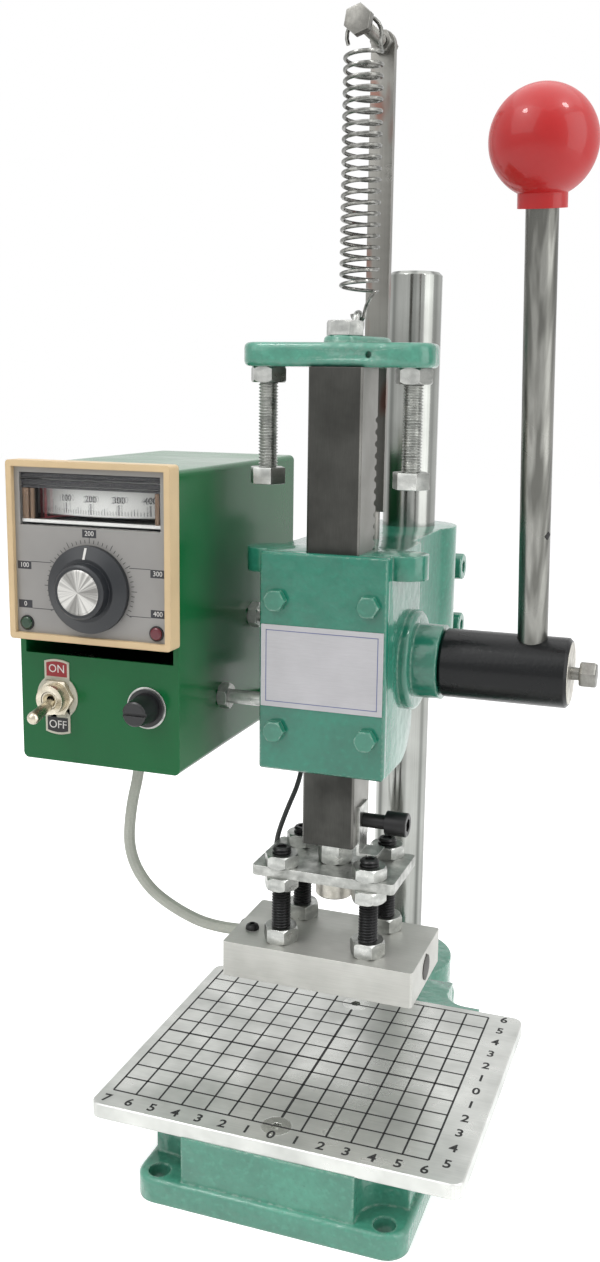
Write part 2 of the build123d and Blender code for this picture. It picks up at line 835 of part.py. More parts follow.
def top_bracket():
    """The crossbar on the ram, with its raised pad and the spring's lobe."""
    bar = RectangleRounded(2 * bracket_reach, bracket_depth, bracket_end_radius)
    bar = Pos(head_shift_x, bracket_centre_y) * bar
    lobe = Pos(0, bracket_lobe_y) * Circle(bracket_lobe_radius)
    neck = Pos(0, (bracket_centre_y + bracket_lobe_y) / 2) * Rectangle(
        2 * bracket_lobe_radius, bracket_lobe_y - bracket_centre_y
    )
    body = Pos(0, 0, ram_top_z) * extrude(bar + lobe + neck, bracket_thickness)
    bolt_seat = Pos(0, ram_y) * Circle(bracket_pad_radius)
    pad = make_hull(bolt_seat.edges() + lobe.edges())
    body += Pos(0, 0, bracket_top_z) * extrude(pad, bracket_pad_height)
    body = body - rod(ram_bolt_radius, pad_top_z - ram_top_z, (0, ram_y, ram_top_z))
    for x in stop_xs:
        body -= rod(stop_bolt_radius, stop_thread_depth, (x, bracket_centre_y, ram_top_z))
    front_y = bracket_centre_y - bracket_depth / 2
    pin_z = ram_top_z + bracket_thickness / 2
    body -= rod(bracket_pin_hole_radius, bracket_pin_hole_depth, (bracket_pin_hole_x, front_y, pin_z), "+y")
    body -= rod(eye_wire_radius, pad_top_z - ram_top_z, (0, spring_y, ram_top_z))
    return body


def bracket_bolt():
    """The bolt that holds the bracket on the ram."""
    sizes = (ram_bolt_flats, ram_bolt_head, ram_bolt_radius, ram_bolt_length)
    return hex_bolt(*sizes, (0, ram_y, pad_top_z), "+z")


def stop_bolts():
    """The two bolts that stop the ram on the ears."""
    place_z = stop_head_bottom_z + stop_bolt_head
    sizes = (stop_nut_flats, stop_bolt_head, stop_bolt_radius, ram_top_z + stop_thread_depth - place_z)
    return [hex_bolt(*sizes, (x, bracket_centre_y, place_z), "-z") for x in stop_xs]


def stop_nuts():
    """The lock nuts of the stop bolts, under the bracket."""
    return [
        nut(stop_nut_flats, stop_nut_height, stop_bolt_radius, (x, bracket_centre_y, ram_top_z), "-z")
        for x in stop_xs
    ]


def spring_eye():
    """The eye bolt on the bracket that the spring hooks into."""
    ring = Pos(0, spring_y, eye_centre_z) * Rot(0, 90, 0) * Torus(spring_eye_radius, eye_wire_radius)
    ring_bottom = eye_centre_z - spring_eye_radius
    stem = rod(eye_wire_radius, ring_bottom - ram_top_z, (0, spring_y, ram_top_z))
    return ring + stem


def spring_post():
    """The flat post behind the bracket, with its round foot in the head."""
    half = post_width / 2
    flat_top = post_top_z - half
    with BuildSketch(Plane.XZ) as face:
        with BuildLine():
            Line((-half, post_flat_bottom_z), (half, post_flat_bottom_z))
            Line((half, post_flat_bottom_z), (half, flat_top))
            ThreePointArc((half, flat_top), (0, post_top_z), (-half, flat_top))
            Line((-half, flat_top), (-half, post_flat_bottom_z))
        make_face()
    bar = Pos(0, post_y + post_thickness / 2, 0) * extrude(face.sketch, post_thickness)
    bar -= rod(post_screw_radius, post_thickness, (0, post_y - post_thickness / 2, post_screw_z), "+y")
    stem_bottom = head_top_z - post_stem_depth
    return bar + rod(post_stem_radius, post_flat_bottom_z - stem_bottom, (0, post_y, stem_bottom))


def post_screw():
    """The long screw that holds the top of the spring."""
    length = post_y + post_thickness / 2 + post_nut_height + post_screw_over - post_screw_front_y
    sizes = (post_screw_head_radius, post_screw_head, post_screw_radius, length, post_screw_key)
    return socket_screw(*sizes, (0, post_screw_front_y, post_screw_z), "-y")


def post_nuts():
    """The two nuts that clamp the screw to the post."""
    front_y = post_y - post_thickness / 2 - post_nut_height
    back_y = post_y + post_thickness / 2
    return [
        nut(post_nut_flats, post_nut_height, post_screw_radius, (0, y, post_screw_z), "+y")
        for y in (front_y, back_y)
    ]



def spring_stations():
    """Places and headings along the spring, a quarter turn apart in the coils."""
    coil = spring_outer_radius - spring_wire / 2
    steps = spring_turns * 4
    rise = (spring_high_z - spring_low_z) / steps
    slope = rise / (coil * math.pi / 2)
    ring_z = eye_centre_z + spring_eye_radius
    low_hook = eye_wire_radius + spring_wire / 2 + hook_gap
    high_hook = post_screw_radius + spring_wire / 2 + hook_gap
    up = (0, 0, 1)
    down = (0, 0, -1)
    right = (1, 0, 0)
    left = (-1, 0, 0)
    stations = [
        ((-low_hook, spring_y, ring_z), down),
        ((0, spring_y, ring_z - low_hook), right),
        ((low_hook, spring_y, ring_z), up),
    ]
    for step in range(steps + 1):
        angle = step * math.pi / 2
        place = (coil * math.cos(angle), spring_y + coil * math.sin(angle), spring_low_z + step * rise)
        stations.append((place, (-math.sin(angle), math.cos(angle), slope)))
    stations.append(((high_hook, spring_y, post_screw_z), up))
    stations.append(((0, spring_y, post_screw_z + high_hook), left))
    stations.append(((-high_hook, spring_y, post_screw_z), down))
    return stations


def biarc(start, start_heading, end, end_heading):
    """Two tangent arcs between two places with given headings."""
    p0 = Vector(*start)
    p1 = Vector(*end)
    t0 = Vector(*start_heading).normalized()
    t1 = Vector(*end_heading).normalized()
    chord = p1 - p0
    square = 2 * (1 - t0.dot(t1))
    linear = 2 * chord.dot(t0 + t1)
    root = math.sqrt(linear * linear + 4 * square * chord.dot(chord))
    reach = (root - linear) / (2 * square)
    knot = (p0 + t0 * reach + p1 - t1 * reach) * 0.5
    first = Edge.make_tangent_arc(p0, t0, knot)
    second = Edge.make_tangent_arc(knot, first.tangent_at(1), p1)
    return [first, second]


def spring_path():
    """The spring's centre line as one chain of tangent arcs."""
    stations = spring_stations()
    arcs = []
    for (start, start_heading), (end, end_heading) in zip(stations, stations[1:]):
        arcs.extend(biarc(start, start_heading, end, end_heading))
    return Wire(arcs)


def least_gap(path, wire, spacing):
    """The least gap of a wound wire to itself, measured on points along it."""
    count = int(path.length / spacing)
    points = [path.position_at(index / count) for index in range(count + 1)]
    skip = int(math.pi * wire / spacing) + 1
    least = path.length
    for index, point in enumerate(points):
        for other in points[index + skip:]:
            least = min(least, (point - other).length)
    return least - wire


def return_spring():
    """The wound return spring, one wire from hook to hook."""
    path = spring_path()
    print("spring: least gap to itself", round(least_gap(path, spring_wire, 1.0), 2), "mm")
    profile = Plane(origin=path.position_at(0), z_dir=path.tangent_at(0)) * Circle(spring_wire / 2)
    return sweep(profile, path=path)


def mounting_plate():
    """The tool plate under the ram."""
    half = plate_width / 2
    front_y = ram_y - plate_depth / 2
    plate = slab(-half, half, front_y, front_y + plate_depth, plate_bottom_z, plate_top_z)
    plate = chamfer(plate.edges().filter_by(Axis.Z), 1.0)
    plate -= rod(stem_radius, plate_thickness, (0, ram_y, plate_bottom_z))
    for x, y in standoff_places:
        plate -= rod(standoff_radius, plate_thickness, (x, y, plate_bottom_z))
    return plate


def stem_screw():
    """The screw that hangs the plate from the ram, its head below the plate."""
    length = ram_bottom_z + stem_grip - plate_bottom_z
    place = (0, ram_y, plate_bottom_z)
    return socket_screw(stem_head_radius, stem_head_height, stem_radius, length, stem_key, place, "-z")


def standoff_screws():
    """The four black screws from the plate down into the block."""
    bottom_z = block_top_z - standoff_in_block
    length = plate_top_z + standoff_above_plate - bottom_z
    screw = Cylinder(standoff_radius, length, align=FROM_BASE)
    screw = chamfer(screw.edges().filter_by(GeomType.CIRCLE), 0.5)
    key = extrude(RegularPolygon(standoff_key / 2, 6, major_radius=False), standoff_key)
    screw -= Pos(0, 0, length - standoff_key) * key
    return [Pos(x, y, bottom_z) * screw for x, y in standoff_places]


def plate_nuts():
    """The nut between ram and plate, and three nuts on each standoff screw."""
    nuts = [nut(stem_nut_flats, ram_bottom_z - plate_top_z, stem_radius, (0, ram_y, plate_top_z))]
    thin = (standoff_nut_flats, standoff_nut_height, standoff_radius)
    for x, y in standoff_places:
        nuts.append(nut(*thin, (x, y, plate_top_z)))
        nuts.append(nut(*thin, (x, y, plate_bottom_z), "-z"))
        nuts.append(nut(standoff_nut_flats, block_nut_height, standoff_radius, (x, y, block_top_z)))
    return nuts


def heating_block():
    """The heated block, with its bores and the slot in its right end."""
    half = block_width / 2
    y0 = block_centre_y - block_depth / 2
    y1 = block_centre_y + block_depth / 2
    block = slab(-half, half, y0, y1, block_bottom_z, block_top_z)
    block = chamfer(block.edges().filter_by(Axis.Z), 0.8)
    for x, y in standoff_places:
        block -= rod(standoff_radius, standoff_in_block, (x, y, block_top_z), "-z")
    bore = heater_radius + heater_fit
    block -= rod(bore, heater_length - heater_out, (-half, heater_y, heater_z), "+x")
    block -= rod(probe_radius + heater_fit, probe_depth, (probe_x, probe_y, block_top_z), "-z")
    block -= rod(block_hole_radius, block_hole_depth, (block_hole_x, block_hole_y, block_top_z), "-z")
    slot_y = block_centre_y - block_slot_width / 2
    low = block_bottom_z + block_slot_margin
    high = block_top_z - block_slot_margin
    return block - slab(half - block_slot_depth, half, slot_y, slot_y + block_slot_width, low, high)


def cartridge_heater():
    """The heater rod in the block."""
    start = -block_width / 2 - heater_out
    heater = rod(heater_radius, heater_length, (start, heater_y, heater_z), "+x")
    return chamfer(heater.edges().filter_by(GeomType.CIRCLE), 0.5)


def sensor_probe():
    """The temperature probe in the back corner of the block."""
    return rod(probe_radius, probe_depth + probe_out, (probe_x, probe_y, block_top_z - probe_depth))


def side_screw():
    """The cap screw on the ram's right side."""
    seat_x = ram_side / 2 + clip_thickness + side_screw_shank
    length = side_screw_shank + clip_thickness + side_screw_grip
    sizes = (side_screw_head_radius, side_screw_head, side_screw_radius, length, side_screw_key)
    return socket_screw(*sizes, (seat_x, ram_y, side_screw_z), "+x")


def side_clip():
    """The bent clip held by the side screw."""
    x0 = ram_side / 2
    y0 = ram_y - clip_width / 2
    y1 = ram_y + clip_width / 2
    leg = slab(x0, x0 + clip_thickness, y0, y1, clip_bottom_z, side_screw_z + clip_top_margin)
    foot = slab(x0, x0 + clip_reach, y0, y1, clip_bottom_z, clip_bottom_z + clip_thickness)
    return leg + foot - rod(side_screw_radius, clip_thickness, (x0, ram_y, side_screw_z), "+x")


def box_shell():
    """The control box: a folded shell, open at the back, with its cut-outs."""
    centre_z = box_bottom_z + box_height / 2
    outer = RectangleRounded(box_width, box_height, box_corner_radius)
    inner_radius = box_corner_radius - box_wall / 2
    inner = RectangleRounded(box_width - 2 * box_wall, box_height - 2 * box_wall, inner_radius)
    lip = Rectangle(box_width - 2 * back_flange, box_height - 2 * back_flange)
    body = stand(extrude(outer, box_depth), (box_centre_x, box_front_y, centre_z), "+y")
    hollow_depth = box_depth - 2 * box_wall
    body -= stand(extrude(inner, hollow_depth), (box_centre_x, box_front_y + box_wall, centre_z), "+y")
    body -= stand(extrude(lip, box_wall), (box_centre_x, box_back_y - box_wall, centre_z), "+y")
    half_body = thermo_body_side / 2 + panel_fit
    cut_top = bezel_centre_z + half_body
    x0 = bezel_centre_x - half_body
    wall_y = box_front_y + box_wall
    body -= slab(x0, x0 + 2 * half_body, box_front_y, wall_y, panel_cut_bottom_z, cut_top)
    x0 = box_left_x + box_corner_radius
    x1 = box_right_x - box_corner_radius
    body -= slab(x0, x1, box_front_y, wall_y, panel_cut_bottom_z, thermo_bottom_z)
    body -= rod(toggle_bush_radius, box_wall, (toggle_x, box_front_y, toggle_z), "+y")
    body -= rod(fuse_body_radius, box_wall, (fuse_x, box_front_y, fuse_z), "+y")
    body -= rod(gland_thread_radius, box_wall, (gland_x, gland_y, box_bottom_z))
    body -= rod(grommet_radius - grommet_lip, box_wall, (box_right_x, grommet_y, grommet_z), "-x")
    for y, z in ((stud_low_y, stud_low_z), (stud_high_y, stud_high_z)):
        body -= rod(stud_radius, box_wall, (box_right_x, y, z), "-x")
    for x, z in back_screw_places():
        body -= rod(back_screw_radius, box_wall, (x, box_back_y, z), "-y")
    return body


def back_screw_places():
    """The four corners of the back cover."""
    xs = (box_left_x + back_screw_inset, box_right_x - back_screw_inset)
    zs = (box_bottom_z + back_screw_inset, box_top_z - back_screw_inset)
    return [(x, z) for x in xs for z in zs]


def box_back_cover():
    """The sheet that closes the back of the box."""
    centre_z = box_bottom_z + box_height / 2
    sheet = RectangleRounded(box_width, box_height, box_corner_radius)
    cover = stand(extrude(sheet, box_wall), (box_centre_x, box_back_y, centre_z), "+y")
    for x, z in back_screw_places():
        cover -= rod(back_screw_radius, box_wall, (x, box_back_y, z), "+y")
    hole = Box(inlet_width, box_wall, inlet_height)
    return cover - Pos(inlet_x, box_back_y + box_wall / 2, inlet_z) * hole


def back_cover_screws():
    """The four screws of the back cover."""
    screws = []
    for x, z in back_screw_places():
        head = Cylinder(back_screw_head_radius, back_screw_head, align=FROM_BASE)
        head = fillet(head.edges().filter_by(GeomType.CIRCLE).sort_by(Axis.Z)[-1:], back_screw_round)
        shank = Cylinder(back_screw_radius, back_screw_length, align=FROM_BASE)
        screw = head + Pos(0, 0, -back_screw_length) * shank
        screws.append(stand(screw, (x, box_back_y + box_wall, z), "+y"))
    return screws


def box_studs():
    """The two studs from the head to the box."""
    studs = []
    for y, z in ((stud_low_y, stud_low_z), (stud_high_y, stud_high_z)):
        start_x = box_right_x - stud_in_box
        studs.append(rod(stud_radius, head_left_x + stud_in_head - start_x, (start_x, y, z), "+x"))
    return studs


def stud_nuts():
    """Nuts on the studs: at the head, and outside and inside the box."""
    nuts = []
    for y, z in ((stud_low_y, stud_low_z), (stud_high_y, stud_high_z)):
        nuts.append(nut(stud_nut_flats, stud_nut_height, stud_radius, (head_left_x, y, z), "-x"))
        nuts.append(nut(stud_nut_flats, stud_nut_height, stud_radius, (box_right_x, y, z), "+x"))
        nuts.append(nut(stud_nut_flats, stud_nut_height, stud_radius, (box_right_x - box_wall, y, z), "-x"))
    return nuts


def thermostat_body():
    """The thermostat's housing, with the space of its meter."""
    half = thermo_body_side / 2
    x0 = bezel_centre_x - half
    x1 = bezel_centre_x + half
    back_y = meter_back_y + thermo_back_space
    body = slab(x0, x1, box_front_y, back_y, thermo_bottom_z, thermo_bottom_z + thermo_body_side)
    low = window_bottom_z
    high = thermo_bottom_z + thermo_body_side - thermo_wall
    return body - slab(x0 + thermo_wall, x1 - thermo_wall, box_front_y, meter_back_y, low, high)


def thermostat_bezel():
    """The thermostat's cream frame."""
    frame = RectangleRounded(bezel_side, bezel_side, bezel_round) - Rectangle(face_side, face_side)
    body = stand(extrude(frame, bezel_depth), (bezel_centre_x, bezel_front_y, bezel_centre_z), "+y")
    return body


def thermostat_face():
    """The grey face with its window and its holes."""
    x0 = bezel_centre_x - face_side / 2
    body = slab(x0, x0 + face_side, face_front_y, box_front_y, face_bottom_z, face_top_z)
    x0 = bezel_centre_x - window_width / 2
    body -= slab(x0, x0 + window_width, face_front_y, box_front_y, window_bottom_z, window_top_z)
    depth = box_front_y - face_front_y
    return body - rod(dial_spindle_radius, depth, (bezel_centre_x, face_front_y, dial_z), "+y")


def meter_window():
    """The clear pane over the meter."""
    x0 = bezel_centre_x - window_width / 2
    y1 = face_front_y + window_thickness
    return slab(x0, x0 + window_width, face_front_y, y1, window_bottom_z, window_top_z)


def meter_scale():
    """The curved scale behind the pointer, round the meter's pivot."""
    outer = scale_outer_radius
    ring = Circle(outer) - Circle(outer - scale_thickness)
    ring &= Pos(0, -outer) * Rectangle(2 * scale_half_width, outer)
    low = window_bottom_z + scale_lift
    body = extrude(ring, window_top_z - scale_top_margin - low)
    return Pos(bezel_centre_x, meter_pivot_y, low) * body


def meter_needle():
    """The pointer: a hub, an arm under the scale and a blade in front of it."""
    low = window_bottom_z + needle_lift
    hub = Cylinder(needle_hub_radius, 2 * needle_hub_drop, align=FROM_BASE)
    hub = Pos(0, 0, low - needle_hub_drop) * hub
    half = needle_arm_width / 2
    arm = slab(-half, half, -meter_radius, 0, low, low + needle_thickness)
    blade_half = needle_blade_width / 2
    front = -meter_radius - needle_thickness / 2
    blade = slab(-blade_half, blade_half, front, front + needle_thickness, low, low + needle_blade_height)
    turn = Rot(0, 0, -meter_half_angle)
    return Pos(bezel_centre_x, meter_pivot_y, 0) * turn * (hub + arm + blade)


def dial_knob():
    """The setting knob: a skirt that slopes up to the grip, and the spindle."""
    front = dial_height - dial_gap
    skirt = Cylinder(dial_radius, dial_skirt, align=FROM_BASE)
    slope = Cone(dial_radius, dial_shoulder_radius, dial_slope, align=FROM_BASE)
    body = Cone(dial_grip_radius, dial_grip_radius - dial_taper, front, align=FROM_BASE)
    body = chamfer(body.edges().filter_by(GeomType.CIRCLE).sort_by(Axis.Z)[-1:], dial_edge)
    body = body + skirt + Pos(0, 0, dial_skirt) * slope
    body -= Pos(0, 0, front - cap_recess) * Cylinder(cap_radius, cap_recess, align=FROM_BASE)
    place = (bezel_centre_x, face_front_y - dial_gap, dial_z)
    depth = dial_gap + box_front_y - face_front_y
    spindle = rod(dial_spindle_radius - shaft_fit, depth, place, "+y")
    return stand(body, place, "-y") + spindle


def knob_cap():
    """The spun metal disc on the knob."""
    y = face_front_y - dial_height + cap_recess
    cap = rod(cap_radius, cap_thickness, (bezel_centre_x, y, dial_z), "-y")
    return chamfer(cap.edges().filter_by(GeomType.CIRCLE).sort_by(Axis.Y)[:1], cap_edge)


def lamp(side):
    """A lamp's lens in a lower corner of the face."""
    x = bezel_centre_x + side * (face_side / 2 - lamp_margin_x)
    z = face_bottom_z + lamp_margin_z
    lens = rod(lamp_radius, lamp_stand, (x, face_front_y, z), "-y")
    return fillet(lens.edges().filter_by(GeomType.CIRCLE).sort_by(Axis.Y)[:1], 0.7 * lamp_stand)


def toggle_switch():
    """The switch's body behind the panel, and its threaded bush."""
    y0 = box_front_y + box_wall
    body = Box(toggle_body_width, toggle_body_depth, toggle_body_height)
    body = Pos(toggle_x, y0 + toggle_body_depth / 2, toggle_z) * body
    front = (toggle_x, box_front_y - toggle_bush_reach, toggle_z)
    length = box_wall + toggle_bush_reach
    body += rod(toggle_bush_radius, length, front, "+y")
    return body - rod(toggle_bush_bore, length + toggle_bush_bore, front, "+y")


def toggle_nut():
    """The nut of the switch's bush."""
    place = (toggle_x, box_front_y, toggle_z)
    return nut(toggle_nut_flats, toggle_nut_height, toggle_bush_radius, place, "-y")


def toggle_lever():
    """The switch's bat lever, down at rest."""
    bat = Cone(toggle_root_radius, toggle_tip_radius, toggle_length, align=FROM_BASE)
    bat += Pos(0, 0, toggle_length) * Sphere(toggle_tip_radius)
    lever = Sphere(toggle_ball_radius) + bat
    return Pos(toggle_x, toggle_pivot_y, toggle_z) * Rot(90 + toggle_angle, 0, 0) * lever


def fuse_holder():
    """The fuse holder's body, with its flange on the panel."""
    body = rod(fuse_body_radius, fuse_body_length, (fuse_x, box_front_y, fuse_z), "+y")
    return body + rod(fuse_flange_radius, fuse_flange, (fuse_x, box_front_y, fuse_z), "-y")


def fuse_cap():
    """The slotted cap of the fuse holder."""
    cap = Cone(fuse_cap_radius, fuse_cap_tip_radius, fuse_cap_length, align=FROM_BASE)
    cap = chamfer(cap.edges().filter_by(GeomType.CIRCLE).sort_by(Axis.Z)[-1:], 0.6)
    slot = Box(2 * fuse_cap_radius, fuse_slot_width, 2 * fuse_slot_depth)
    cap -= Pos(0, 0, fuse_cap_length) * slot
    return stand(cap, (fuse_x, box_front_y - fuse_flange - running_gap, fuse_z), "-y")


def cable_gland():
    """The gland in the box's bottom that lets the heater cable out."""
    body = hexagon(gland_flats, gland_nut_height, (gland_x, gland_y, box_bottom_z), "-z")
    dome = Cone(gland_dome_radius, gland_dome_radius - 1.5, gland_dome_height, align=FROM_BASE)
    body += stand(dome, (gland_x, gland_y, box_bottom_z - gland_nut_height), "-z")
    body += rod(gland_thread_radius, gland_thread_length, (gland_x, gland_y, box_bottom_z))
    bore = cable_radius + cable_gap
    low_z = box_bottom_z - gland_nut_height - gland_dome_height
    return body - rod(bore, box_bottom_z + gland_thread_length - low_z, (gland_x, gland_y, low_z))


def wire_grommet():
    """The rubber grommet in the box's right side, round the sensor wire."""
    inside = (box_right_x - box_wall - grommet_lip, grommet_y, grommet_z)
    length = 2 * grommet_lip + box_wall
    body = rod(grommet_radius, grommet_lip, (box_right_x, grommet_y, grommet_z), "+x")
    body += rod(grommet_radius - grommet_lip, length - grommet_lip, inside, "+x")
    body += rod(grommet_radius, grommet_lip, inside, "+x")
    return body - rod(wire_radius + cable_gap, length, inside, "+x")


def mains_inlet():
    """The inlet socket in the back cover, with its three pins."""
    sheet_y = box_back_y + box_wall
    mouth_y = sheet_y + inlet_flange_thickness
    floor_y = mouth_y - inlet_socket_depth
    body = Pos(0, -inlet_depth / 2, 0) * Box(inlet_width, inlet_depth, inlet_height)
    flange = Box(inlet_width + 2 * inlet_flange, inlet_flange_thickness, inlet_height + 2 * inlet_flange)
    body += Pos(0, inlet_flange_thickness / 2, 0) * flange
    body = Pos(inlet_x, sheet_y, inlet_z) * body
    socket = Box(inlet_socket_width, inlet_socket_depth, inlet_socket_height)
    body -= Pos(inlet_x, mouth_y - inlet_socket_depth / 2, inlet_z) * socket
    pin = Box(inlet_pin_width, inlet_pin_length, inlet_pin_height)
    for side, lift in ((-1, -inlet_pin_lift), (0, inlet_pin_lift), (1, -inlet_pin_lift)):
        place = (inlet_x + side * inlet_pin_spacing, floor_y + inlet_pin_length / 2, inlet_z + lift)
        body += Pos(*place) * pin
    return body


def wire_run(points, radius, name):
    """A free wire: straight runs joined by tangent arcs, as one tube."""
    vectors = [Vector(*point) for point in points]
    radii = []
    for before, at, after in zip(vectors, vectors[1:], vectors[2:]):
        turn = math.radians((at - before).get_angle(after - at))
        shorter = min((at - before).length, (after - at).length)
        radii.append(0.45 * shorter / math.tan(turn / 2))
    print(name, "bend radii", [round(value, 1) for value in radii])
    path = FilletPolyline(*points, radius=radii)
    profile = Plane(origin=path @ 0, z_dir=path % 0) * Circle(radius)
    tube = sweep(profile, path=path)
    ratio = tube.volume / (math.pi * radius * radius * path.length)
    print(name, "length", round(path.length, 1), "volume ratio", round(ratio, 4))
    return tube


write("base_casting", base_casting())
write("worktable_plate", worktable_plate())
write("table_screws", table_screw(table_screw_front_y), table_screw(table_screw_back_y))
write("column", column())
write("column_set_screw", column_set_screw())
write("head_casting", head_casting())
write("front_cover", front_cover())
write("cover_bolts", *cover_bolts())
write("label_plate", label_plate())
write("clamp_bolts", *clamp_bolts())
write("spring_post", spring_post())
write("post_screw", post_screw())
write("post_nuts", *post_nuts())
write("ram", ram())
write("top_bracket", top_bracket())
write("bracket_bolt", bracket_bolt())
write("stop_bolts", *stop_bolts())
write("stop_nuts", *stop_nuts())
write("spring_eye", spring_eye())
write("return_spring", return_spring())
write("mounting_plate", mounting_plate())
write("stem_screw", stem_screw())
write("standoff_screws", *standoff_screws())
write("plate_nuts", *plate_nuts())
write("heating_block", heating_block())
write("cartridge_heater", cartridge_heater())
write("sensor_probe", sensor_probe())
write("side_screw", side_screw())
write("side_clip", side_clip())
write("pinion_gear", pinion_gear())
write("pinion_shaft", pinion_shaft())
write("lever_hub", lever_hub())
write("hub_end_screw", hub_end_screw())
write("lever_rod", lever_rod())
write("lever_knob", lever_knob())
write("control_box_shell", box_shell())
write("control_box_back", box_back_cover())
write("back_cover_screws", *back_cover_screws())
write("box_studs", *box_studs())
write("stud_nuts", *stud_nuts())
write("thermostat_body", thermostat_body())
write("thermostat_bezel", thermostat_bezel())
write("thermostat_face", thermostat_face())
write("meter_window", meter_window())
write("meter_scale", meter_scale())
write("meter_needle", meter_needle())
write("dial_knob", dial_knob())
write("knob_cap", knob_cap())
write("green_lamp", lamp(-1))
write("red_lamp", lamp(1))
write("toggle_switch", toggle_switch())
write("toggle_nut", toggle_nut())
write("toggle_lever", toggle_lever())
write("fuse_holder", fuse_holder())
write("fuse_cap", fuse_cap())
write("cable_gland", cable_gland())
write("wire_grommet", wire_grommet())
write("mains_inlet", mains_inlet())
write("heater_cable", wire_run(heater_cable_points, cable_radius, "heater_cable"))
write("sensor_wire", wire_run(sensor_wire_points, wire_radius, "sensor_wire"))
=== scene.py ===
"""Bench-top hot foil stamping press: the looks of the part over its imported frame.

Sizes are in millimetres in the frame's axes, X to the right, Y to the back and Z up,
and a piece is scaled to metres when it is finished.
"""

import json
import logging
import math
import sys
from collections.abc import Iterable, Sequence
from dataclasses import dataclass, field
from enum import Enum

